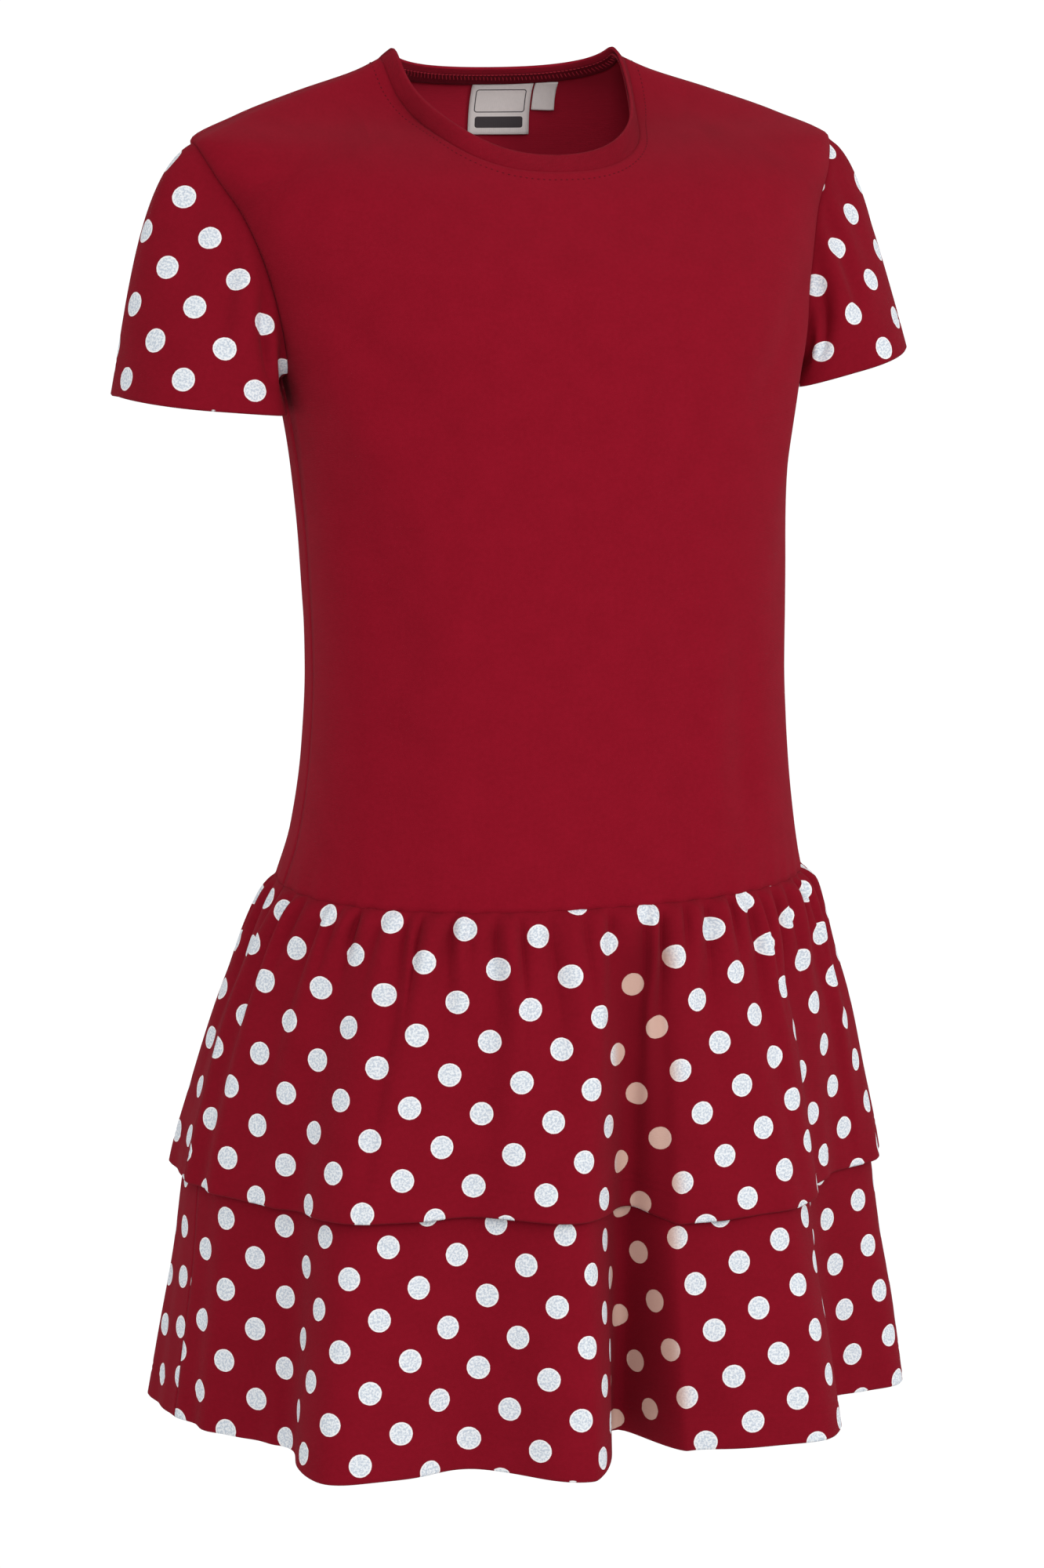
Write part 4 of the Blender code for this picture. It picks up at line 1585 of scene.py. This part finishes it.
class Nodes:
    """A node tree with short calls for adding and joining its nodes."""

    def __init__(self, tree: bpy.types.NodeTree) -> None:
        """Keep the tree."""
        self.tree = tree

    def add(self, kind: str, inputs: Optional[dict] = None, **settings: object) -> bpy.types.Node:
        """Add a node.

        Args:
            kind: the node's type.
            inputs: what goes to its inputs, by their names or numbers.
            settings: its properties.

        Returns:
            The new node.
        """
        node = self.tree.nodes.new(kind)
        for key, value in settings.items():
            setattr(node, key, value)
        self.feed(node, inputs or {})
        return node

    def feed(self, node: bpy.types.Node, inputs: dict) -> None:
        """Join outputs to a node's inputs, or set the inputs' own values.

        Args:
            node: the node.
            inputs: what goes to its inputs, by their names or numbers.
        """
        for key, value in inputs.items():
            if isinstance(value, Output):
                self.tree.links.new(value, node.inputs[key])
            else:
                node.inputs[key].default_value = value

    def maths(self, operation: str, *values: Fed) -> Output:
        """Output of a Math node fed with some values."""
        return self.add("ShaderNodeMath", dict(enumerate(values)), operation=operation).outputs[0]

    def vector_maths(self, operation: str, *values: Fed) -> bpy.types.Node:
        """A Vector Math node fed with some values."""
        return self.add("ShaderNodeVectorMath", dict(enumerate(values)), operation=operation)

    def mix(self, share: Fed, first: Fed, second: Fed) -> Output:
        """Mix two colours.

        Args:
            share: how much of the second colour there is.
            first: a colour, or an output with one.
            second: the other colour, or an output with it.

        Returns:
            The output with the mixed colour.
        """
        colours = [(*c, 1.0) if isinstance(c, tuple) else c for c in (first, second)]
        inputs = {0: share, 6: colours[0], 7: colours[1]}
        return self.add("ShaderNodeMix", inputs, data_type="RGBA").outputs[2]

    def ramp(self, value: Output, low: float, high: float) -> Output:
        """Ease a value.

        Args:
            value: output with the value.
            low: the value that gives 0.
            high: the value that gives 1.

        Returns:
            The output with the eased value.
        """
        inputs = {"Value": value, "From Min": low, "From Max": high}
        node = self.add("ShaderNodeMapRange", inputs, interpolation_type="SMOOTHSTEP")
        return node.outputs["Result"]

    def noise(self, vector: Output, scale: float, detail: float = 2.0) -> Output:
        """Output with noise at a vector."""
        inputs = {"Vector": vector, "Scale": scale, "Detail": detail}
        return self.add("ShaderNodeTexNoise", inputs).outputs["Fac"]

    def relief(self, height: Output, distance: float, strength: float) -> Output:
        """Output with the normal of a surface that has some height."""
        inputs = {"Height": height, "Distance": distance, "Strength": strength}
        return self.add("ShaderNodeBump", inputs).outputs[0]


def new_group(name: str, inputs: dict[str, str], outputs: Sequence[str]) -> bpy.types.NodeTree:
    """Make a shader node group with named sockets.

    Args:
        name: the group's name.
        inputs: socket type of each input.
        outputs: names of the value outputs.

    Returns:
        The group's tree, with its input and output nodes.
    """
    tree = bpy.data.node_groups.new(name, "ShaderNodeTree")
    for label, kind in inputs.items():
        tree.interface.new_socket(label, in_out="INPUT", socket_type=kind)
    for label in outputs:
        tree.interface.new_socket(label, in_out="OUTPUT", socket_type="NodeSocketFloat")
    tree.nodes.new("NodeGroupInput")
    tree.nodes.new("NodeGroupOutput")
    return tree


def new_material(name: str) -> tuple[bpy.types.Material, Nodes, bpy.types.Node]:
    """Make a material.

    Args:
        name: its name.

    Returns:
        The material, its nodes and its shader.
    """
    material = bpy.data.materials.new(name)
    material.use_nodes = True
    return material, Nodes(material.node_tree), material.node_tree.nodes["Principled BSDF"]


@dataclass
class KnitGroup:
    """Columns of small V stitches, as the face of single jersey has them."""

    wale: float = 0.00085
    course: float = 0.00070
    slant: float = 1.1
    wave: float = 0.35
    fine_scale: float = 420.0
    fine_detail: float = 3.0
    broad_scale: float = 60.0
    fine_share: float = 0.55

    def build(self) -> bpy.types.NodeTree:
        """Make the group.

        Returns:
            The group: flat cloth coordinates in, stitch height and mottling out.
        """
        sockets = {"Cloth": "NodeSocketVector", "Fineness": "NodeSocketFloat"}
        tree = new_group("jersey_stitches", sockets, ("Height", "Mottle"))
        nodes = Nodes(tree)
        source = tree.nodes["Group Input"].outputs
        parts = nodes.add("ShaderNodeSeparateXYZ", {0: source["Cloth"]}).outputs
        scale_u = nodes.maths("MULTIPLY", source["Fineness"], 1 / self.wale)
        scale_v = nodes.maths("MULTIPLY", source["Fineness"], 1 / self.course)
        u = nodes.maths("MULTIPLY", parts["X"], scale_u)
        v = nodes.maths("MULTIPLY", parts["Y"], scale_v)
        leg = nodes.maths("ABSOLUTE", nodes.maths("SUBTRACT", nodes.maths("FRACT", u), 0.5))
        swell = nodes.maths("SINE", nodes.maths("MULTIPLY", leg, 2 * math.pi))
        phase = nodes.maths("SUBTRACT", v, nodes.maths("MULTIPLY", leg, self.slant))
        turn = nodes.maths("COSINE", nodes.maths("MULTIPLY", phase, 2 * math.pi))
        wave = nodes.maths("MULTIPLY_ADD", turn, self.wave, 1 - self.wave)
        fine = nodes.noise(source["Cloth"], self.fine_scale, self.fine_detail)
        broad = nodes.noise(source["Cloth"], self.broad_scale)
        broad = nodes.maths("MULTIPLY", broad, 1 - self.fine_share)
        nodes.feed(tree.nodes["Group Output"], {
            "Height": nodes.maths("MULTIPLY", swell, wave),
            "Mottle": nodes.maths("MULTIPLY_ADD", fine, self.fine_share, broad),
        })
        return tree


@dataclass
class DotGroup:
    """Round printed dots on whole-number lattice places, with a thin rim and a fine speckle."""

    radius: float = 0.226
    edge: float = 0.010
    rim: float = 0.020
    wobble: float = 0.012
    wobble_scale: float = 700.0
    wobble_detail: float = 1.0
    speckle: float = 900.0
    speckle_detail: float = 3.0
    speckle_range: tuple[float, float] = (0.40, 0.60)

    def build(self) -> bpy.types.NodeTree:
        """Make the group.

        Returns:
            The group: lattice and cloth coordinates in, masks of dot, rim and speckle out.
        """
        sockets = {"Lattice": "NodeSocketVector", "Cloth": "NodeSocketVector"}
        tree = new_group("printed_dots", sockets, ("Dot", "Rim", "Speckle"))
        nodes = Nodes(tree)
        source = tree.nodes["Group Input"].outputs
        half = (0.5, 0.5, 0.5)
        shifted = nodes.vector_maths("ADD", source["Lattice"], half).outputs[0]
        part = nodes.vector_maths("FRACTION", shifted).outputs[0]
        centred = nodes.vector_maths("SUBTRACT", part, half).outputs[0]
        level = nodes.vector_maths("MULTIPLY", centred, (1.0, 1.0, 0.0)).outputs[0]
        length = nodes.vector_maths("LENGTH", level).outputs["Value"]
        uneven = nodes.noise(source["Cloth"], self.wobble_scale, self.wobble_detail)
        uneven = nodes.maths("MULTIPLY_ADD", uneven, self.wobble, -self.wobble / 2)
        reach = nodes.maths("ADD", length, uneven)
        dot = nodes.ramp(reach, self.radius + self.edge / 2, self.radius - self.edge / 2)
        rim = nodes.ramp(reach, self.radius - self.rim - self.edge, self.radius - self.rim)
        grain = nodes.noise(source["Cloth"], self.speckle, self.speckle_detail)
        nodes.feed(tree.nodes["Group Output"], {
            "Dot": dot,
            "Rim": nodes.maths("MULTIPLY", rim, dot),
            "Speckle": nodes.ramp(grain, *self.speckle_range),
        })
        return tree


@dataclass(frozen=True)
class JerseyFinish:
    """A knitted cloth or its thread: colours, how fine its stitches are and how matt it is."""

    name: str
    light: Colour
    deep: Colour
    fineness: float = 1.0
    relief: float = 0.00010
    relief_strength: float = 0.8
    roughness: float = 0.94
    specular: float = 0.04
    sheen: float = 0.04
    sheen_roughness: float = 0.45
    sheen_tint: Colour = (1.0, 0.45, 0.50)
    height_share: float = 0.35
    light_range: tuple[float, float] = (0.25, 1.0)
    dotted: bool = False
    # The inner face's colour: the knit's own lighter back plus painted light that lifts the shade
    # inside the garment
    has_inner_tone_and_painted_light: bool = False
    inner_tone_and_painted_light: Colour = (0.370, 0.0120, 0.0300)
    dot_light: Colour = (0.86, 0.89, 0.91)
    dot_grain: Colour = (0.56, 0.62, 0.70)
    dot_rim: Colour = (0.92, 0.90, 0.90)
    dot_back: float = 0.16
    dot_gloss: float = 0.25
    # Painted shade of the deep skirt fold: beige-pink dots and darker cloth where the hollow mask
    # is high
    dot_hollow: Colour = (0.62, 0.40, 0.33)
    painted_shade_range: tuple[float, float] = (0.25, 0.75)
    hollow_cloth: Colour = (0.150, 0.0035, 0.0100)
    painted_shade_share: float = 0.70

    def build(self, knit: bpy.types.NodeTree, dots: bpy.types.NodeTree) -> bpy.types.Material:
        """Make the material.

        Args:
            knit: the stitch group.
            dots: the dot group.

        Returns:
            The new material.
        """
        material, nodes, shader = new_material(self.name)
        cloth = nodes.add("ShaderNodeUVMap", uv_map="cloth").outputs[0]
        inputs = {"Cloth": cloth, "Fineness": self.fineness}
        stitches = nodes.add("ShaderNodeGroup", inputs, node_tree=knit).outputs
        shade = nodes.maths("MULTIPLY_ADD", stitches["Height"], self.height_share,
                            stitches["Mottle"])
        colour = nodes.mix(nodes.ramp(shade, *self.light_range), self.deep, self.light)
        outer = nodes.add("ShaderNodeAttribute", attribute_name="outer").outputs["Fac"]
        # Inner face: its own lighter back plus painted light against the shade inside
        if self.has_inner_tone_and_painted_light:
            colour = nodes.mix(outer, self.inner_tone_and_painted_light, colour)
        roughness = self.roughness
        if self.dotted:
            colour, roughness = self.add_dots(nodes, dots, cloth, colour, outer)
        nodes.feed(shader, {
            "Base Color": colour,
            "Roughness": roughness,
            "Sheen Weight": self.sheen,
            "Sheen Roughness": self.sheen_roughness,
            "Sheen Tint": (*self.sheen_tint, 1.0),
            "Specular IOR Level": self.specular,
            "Normal": nodes.relief(stitches["Height"], self.relief, self.relief_strength),
        })
        return material

    def add_dots(self, nodes: Nodes, dots: bpy.types.NodeTree, cloth: Output, colour: Output,
                 outer: Output) -> tuple[Output, Output]:
        """Lay the printed dots over the cloth's colour, faint on its inner face, and paint shade
        into the deep fold: beige-pink dots and darker cloth there.

        Args:
            nodes: the material's nodes.
            dots: the dot group.
            cloth: output with the flat cloth's coordinates.
            colour: output with the cloth's colour.
            outer: output that is one on the outer face and zero on the inner.

        Returns:
            The outputs with the printed cloth's colour and roughness.
        """
        lattice = nodes.add("ShaderNodeUVMap", uv_map="dots").outputs[0]
        inputs = {"Lattice": lattice, "Cloth": cloth}
        masks = nodes.add("ShaderNodeGroup", inputs, node_tree=dots).outputs
        seen = nodes.maths("MULTIPLY_ADD", outer, 1.0 - self.dot_back, self.dot_back)
        mask = nodes.maths("MULTIPLY", masks["Dot"], seen)
        ink = nodes.mix(masks["Speckle"], self.dot_grain, self.dot_light)
        ink = nodes.mix(masks["Rim"], ink, self.dot_rim)
        # Painted shade in the fold's hollow: dots tinted beige-pink and the cloth darkened
        hollow = nodes.add("ShaderNodeAttribute", attribute_name="hollow").outputs["Fac"]
        ink = nodes.mix(nodes.ramp(hollow, *self.painted_shade_range), ink, self.dot_hollow)
        depth = nodes.maths("MULTIPLY", hollow, self.painted_shade_share)
        colour = nodes.mix(depth, colour, self.hollow_cloth)
        gloss = nodes.maths("MULTIPLY_ADD", mask, -self.dot_gloss, self.roughness)
        return nodes.mix(mask, colour, ink), gloss


class Finish(Enum):
    """The knitted cloths and threads of the dress."""

    PLAIN = JerseyFinish("plain_red_jersey", (0.263, 0.0056, 0.0177), (0.215, 0.0043, 0.0135),
                         has_inner_tone_and_painted_light=True)
    DOTTED = JerseyFinish("dotted_red_jersey", (0.236, 0.0055, 0.0163), (0.191, 0.0043, 0.0124),
                          dotted=True)
    RIB = JerseyFinish("red_rib_knit", (0.260, 0.0058, 0.0178), (0.192, 0.0041, 0.0125),
                       fineness=0.8, relief=0.00022, has_inner_tone_and_painted_light=True)
    # Darker red thread: partly its own colour, partly painted shade of the stitch points; the seam
    # allowance wears it too as painted shade inside the neck
    THREAD = JerseyFinish("red_thread", (0.120, 0.0035, 0.0100), (0.075, 0.0024, 0.0065),
                          fineness=2.0, relief=0.00004, roughness=0.6)
    LOOPS = JerseyFinish("overlock_thread", (0.400, 0.0240, 0.0420), (0.300, 0.0130, 0.0260),
                         fineness=2.0, relief=0.00004, roughness=0.6)


@dataclass(frozen=True)
class LabelBox:
    """A round-cornered box on a label: its middle's share of the length, half height and inset."""

    middle: float
    half_height: float
    inset: float
    corner: float = 0.0014


@dataclass(frozen=True)
class LabelFinish:
    """White satin tape with a plain bar and an empty frame, or wholly bare."""

    name: str
    width: float
    length: float
    printed: bool
    white: Colour = (0.86, 0.79, 0.77)
    dimmer: float = 0.90
    ink: Colour = (0.035, 0.025, 0.030)
    warp: float = 9000.0
    weft: float = 14000.0
    mottle: float = 500.0
    relief: float = 0.00005
    roughness: float = 0.55
    sheen: float = 0.1
    bar: LabelBox = LabelBox(0.22, 0.0030, 0.0035)
    frame: LabelBox = LabelBox(0.64, 0.0062, 0.0030)
    bar_edge: float = 0.0001
    line: tuple[float, float] = (0.00035, 0.00018)

    def build(self) -> bpy.types.Material:
        """Make the material.

        Returns:
            The new material.
        """
        material, nodes, shader = new_material(self.name)
        cloth = nodes.add("ShaderNodeUVMap", uv_map="cloth").outputs[0]
        parts = nodes.add("ShaderNodeSeparateXYZ", {0: cloth}).outputs
        warp = nodes.maths("SINE", nodes.maths("MULTIPLY", parts["X"], self.warp))
        weft = nodes.maths("SINE", nodes.maths("MULTIPLY", parts["Y"], self.weft))
        height = nodes.maths("MULTIPLY", nodes.maths("ADD", warp, weft), 0.5)
        dim = tuple(c * self.dimmer for c in self.white)
        colour = nodes.mix(nodes.noise(cloth, self.mottle), dim, self.white)
        if self.printed:
            colour = nodes.mix(self.artwork(nodes, parts), colour, self.ink)
        nodes.feed(shader, {
            "Base Color": colour,
            "Roughness": self.roughness,
            "Sheen Weight": self.sheen,
            "Normal": nodes.relief(height, self.relief, 1.0),
        })
        return material

    def distance(self, nodes: Nodes, parts: bpy.types.NodeOutputs, box: LabelBox) -> Output:
        """Distance outside a box on the label, below zero inside it.

        Args:
            nodes: the material's nodes.
            parts: outputs with the label's own X and Y.
            box: the box.

        Returns:
            The output with the distance.
        """
        middles = {"X": self.width / 2, "Y": self.length * box.middle}
        halves = {"X": self.width / 2 - box.inset, "Y": box.half_height}
        out = []
        for axis in ("X", "Y"):
            centred = nodes.maths("SUBTRACT", parts[axis], middles[axis])
            far = nodes.maths("ABSOLUTE", centred)
            far = nodes.maths("SUBTRACT", far, halves[axis] - box.corner)
            out.append(nodes.maths("MAXIMUM", far, 0.0))
        square = nodes.maths("MULTIPLY", out[1], out[1])
        square = nodes.maths("MULTIPLY_ADD", out[0], out[0], square)
        return nodes.maths("SUBTRACT", nodes.maths("SQRT", square), box.corner)

    def artwork(self, nodes: Nodes, parts: bpy.types.NodeOutputs) -> Output:
        """Mask of one plain bar and one empty frame.

        Args:
            nodes: the material's nodes.
            parts: outputs with the label's own X and Y.

        Returns:
            The output with the mask.
        """
        bar = nodes.ramp(self.distance(nodes, parts, self.bar), self.bar_edge, -self.bar_edge)
        from_frame = nodes.maths("ABSOLUTE", self.distance(nodes, parts, self.frame))
        return nodes.maths("MAXIMUM", bar, nodes.ramp(from_frame, *self.line))


# Studio

@dataclass(frozen=True)
class Lamp:
    """One soft square light, aimed at the dress."""

    name: str
    place: Place
    size: float
    power: float


@dataclass
class Studio:
    """Plain white surroundings, an even light from all sides, two soft lights and the camera."""

    white: float = 1.05
    sky: float = 0.78
    aim: Place = (0.0, 0.0, -0.38)
    lamps: tuple[Lamp, ...] = (
        Lamp("key_light", (1.60, -2.50, 0.80), 1.1, 23.0),
        Lamp("front_light", (-0.72, -2.30, 0.55), 0.6, 11.0),
    )
    camera_place: Place = (-0.8551, -2.3492, 0.120)
    azimuth: float = -20.0
    tilt_down: float = 11.22
    roll: float = 0.62
    lens: float = 112.5
    sensor_width: float = 36.0
    shift_x: float = -0.009

    def build(self) -> None:
        """Make the surroundings, the lights and the camera."""
        bpy.context.scene.view_settings.view_transform = "Standard"
        self.build_sky()
        self.build_lights()
        self.build_camera()

    def build_sky(self) -> None:
        """White all round as the camera sees it, and a little dimmer as a light."""
        world = bpy.context.scene.world or bpy.data.worlds.new("studio")
        bpy.context.scene.world = world
        world.use_nodes = True
        tree = world.node_tree
        lighting = tree.nodes["Background"]
        lighting.inputs["Color"].default_value = (1.0, 1.0, 1.0, 1.0)
        lighting.inputs["Strength"].default_value = self.sky
        seen = tree.nodes.new("ShaderNodeBackground")
        seen.inputs["Color"].default_value = (1.0, 1.0, 1.0, 1.0)
        seen.inputs["Strength"].default_value = self.white
        path = tree.nodes.new("ShaderNodeLightPath")
        choice = tree.nodes.new("ShaderNodeMixShader")
        tree.links.new(path.outputs["Is Camera Ray"], choice.inputs[0])
        tree.links.new(lighting.outputs[0], choice.inputs[1])
        tree.links.new(seen.outputs[0], choice.inputs[2])
        tree.links.new(choice.outputs[0], tree.nodes["World Output"].inputs["Surface"])

    def build_lights(self) -> None:
        """The two soft lights."""
        for lamp in self.lamps:
            light = bpy.data.lights.new(lamp.name, "AREA")
            light.size = lamp.size
            light.energy = lamp.power
            holder = bpy.data.objects.new(lamp.name, light)
            holder.location = lamp.place
            aim = Vector(self.aim) - Vector(lamp.place)
            holder.rotation_euler = aim.to_track_quat("-Z", "Y").to_euler()
            bpy.context.scene.collection.objects.link(holder)

    def build_camera(self) -> None:
        """The camera at the photograph's angle, with its slight roll."""
        camera = bpy.data.cameras.new("camera")
        camera.lens = self.lens
        camera.sensor_width = self.sensor_width
        camera.shift_x = self.shift_x
        holder = bpy.data.objects.new("camera", camera)
        turn = Matrix.Rotation(math.radians(self.azimuth), 3, "Z")
        look = turn @ Matrix.Rotation(math.radians(90 - self.tilt_down), 3, "X")
        look = look @ Matrix.Rotation(math.radians(self.roll), 3, "Z")
        holder.matrix_world = Matrix.Translation(Vector(self.camera_place)) @ look.to_4x4()
        bpy.context.scene.collection.objects.link(holder)
        bpy.context.scene.camera = holder


# The dress

@dataclass
class Dress:
    """The whole dress: builds every piece, dresses it and hands it to the frame."""

    bodice: Bodice = field(default_factory=Bodice)
    band: NeckBand = field(default_factory=NeckBand)
    stitching: Stitching = field(default_factory=Stitching)
    sleeves: tuple[Sleeve, ...] = field(default_factory=lambda: (
        Sleeve("right_sleeve", "sleeve_right", side=-1, cuff_x=0.1780, cuff_drop=0.1730,
               cuff_half_width=0.0395, cuff_tilt=0.0040, extra_swell=0.0095,
               dots=DotPrint(35.0, 0.0083, 0.0153)),
        Sleeve("left_sleeve", "sleeve_left", side=1, cuff_x=0.1740, cuff_drop=0.1620,
               cuff_half_width=0.0370, cuff_tilt=0.0090, extra_swell=0.0,
               dots=DotPrint(22.0, -0.0064, 0.0227)),
    ))
    ruffles: tuple[Ruffle, ...] = field(default_factory=lambda: (
        Ruffle("upper_ruffle", length=0.155, on_top=True, columns=600, seed=11,
               row_bands=(RowBand(0, 0.010, 8), RowBand(0.0125, 0.045, 14),
                          RowBand(0.049, 0.129, 20)),
               dots={Side.FRONT: DotPrint(33.0, 0.0052, 0.0158),
                     Side.BACK: DotPrint(34.0, 0.0100, 0.0)}),
        Ruffle("lower_ruffle", length=0.280, on_top=False, columns=480, seed=12,
               row_bands=(RowBand(0, 0.030, 8), RowBand(0.036, 0.254, 44)),
               dots={Side.FRONT: DotPrint(28.0, 0.0103, 0.0084),
                     Side.BACK: DotPrint(32.0, 0.0100, 0.0100)}),
    ))
    labels: tuple[Label, ...] = field(default_factory=lambda: (
        Label("main_label", "label_main", left=-0.0072, width=0.0335, length=0.0279),
        Label("size_label", "label_size", left=0.0274, width=0.0122, length=0.0149),
    ))

    def build(self) -> None:
        """Build all pieces in order."""
        self.make_finishes()
        self.stitching.build()
        self.bodice.build()
        self.build_panels()
        self.build_neck()
        self.build_sleeves()
        self.build_ruffles()
        self.build_labels()

    def make_finishes(self) -> None:
        """Make the materials, from two shared node groups."""
        knit = KnitGroup().build()
        dots = DotGroup().build()
        self.materials = {finish: finish.value.build(knit, dots) for finish in Finish}

    def finish(self, piece: bpy.types.Object, material: bpy.types.Material, slot: Slot,
               node: Optional[str] = None) -> bpy.types.Object:
        """Give a piece its material and its place in the frame.

        Args:
            piece: the new object.
            material: its material.
            slot: the record's slot for its finish; not used.
            node: the solid that it stands for, if any.

        Returns:
            The same object.
        """
        piece.data.materials.append(material)
        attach(piece, BODY)
        if node is not None:
            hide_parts(node)
        LOG.info("%s: %d faces", piece.name, len(piece.data.polygons))
        return piece

    def build_panels(self) -> None:
        """Front and back of the bodice."""
        for side in Side:
            grid = self.bodice.drawn_back(side)
            name = side.name.lower()
            piece = make_shell(f"{name}_panel", grid, self.bodice.wall.cloth, grid.flat)
            self.finish(piece, self.materials[Finish.PLAIN], Slot.RED, f"bodice_{name}")

    def build_neck(self) -> None:
        """Rib band, the overlocked allowance inside it and the stitches round the neck."""
        band = self.band
        grid = band.grid(self.bodice)
        rib = make_shell("neck_rib", grid, band.thickness, grid.flat)
        self.finish(rib, self.materials[Finish.RIB], Slot.RIB, "neck_band")
        allowance = band.allowance_grid(grid)
        # The allowance wears the dark thread finish: painted shade inside the neck
        seam = make_shell("neck_seam_allowance", allowance, band.allowance_thickness,
                          allowance.flat)
        self.finish(seam, self.materials[Finish.THREAD], Slot.RED)
        line, ways = self.bodice.neck_line(band.stitch_distance)
        row = self.stitching.row(line, ways, self.stitching.pitch)
        # Stitches in the dark thread finish, partly painted shade
        topstitch = self.stitching.sew("neck_topstitch", [row])
        self.finish(topstitch, self.materials[Finish.THREAD], Slot.RED)
        overlock = self.stitching.sew("neck_overlock", self.overlock_rows(allowance))
        self.finish(overlock, self.materials[Finish.LOOPS], Slot.RED)

    def overlock_rows(self, allowance: ClothGrid) -> list[StitchRow]:
        """Slanting thread loops over the allowance, and a chain along its free edge.

        Args:
            allowance: the allowance's grid.

        Returns:
            The loops' row and the chain's row.
        """
        band = self.band
        inner = allowance.points - allowance.ways * band.allowance_thickness
        middle, chain = (self.stitching.row(inner[place], -allowance.ways[place], band.loop_pitch)
                         for place in (len(inner) // 2, -1))
        slant = unit(np.cross(middle.tangent, middle.out) + band.loop_lean * middle.tangent)
        return [replace(middle, tangent=slant, stretch=band.loop_stretch), chain]

    def build_sleeves(self) -> None:
        """Both sleeves with their turned-up hems."""
        for sleeve in self.sleeves:
            grid = sleeve.grid(*self.bodice.armholes[sleeve.side])
            thickness = sleeve.wall.thickness(to_last_row(grid.points))
            piece = make_shell(sleeve.name, grid, thickness, dot_lattice(grid.flat, sleeve.dots))
            self.finish(piece, self.materials[Finish.DOTTED], Slot.DOTTED, sleeve.node)

    def build_ruffles(self) -> None:
        """Front and back of both tiers with their turned-up hems."""
        for ruffle in self.ruffles:
            ruffle.build()
            for side in Side:
                grid = ruffle.half(side)
                name = f"{ruffle.name}_{side.name.lower()}"
                thickness = ruffle.wall.thickness(to_last_row(grid.points))
                lattice = dot_lattice(grid.flat, ruffle.dots[side])
                piece = make_shell(f"{name}_cloth", grid, thickness, lattice)
                self.finish(piece, self.materials[Finish.DOTTED], Slot.DOTTED, name)

    def build_labels(self) -> None:
        """The two labels inside the back neck, the main one printed."""
        for label, printed in zip(self.labels, (True, False)):
            grid = label.grid(self.bodice)
            piece = make_shell(label.name, grid, label.thickness, grid.flat)
            finish = LabelFinish(f"{label.name}_tape", label.width, label.length, printed)
            self.finish(piece, finish.build(), Slot.LABEL, label.node)


def main() -> None:
    """Build the dress and its studio."""
    logging.basicConfig(level=logging.INFO, format="%(name)s: %(message)s")
    bpy.ops.object.select_all(action="DESELECT")
    Dress().build()
    Studio().build()


if __name__ == "__main__":
    main()
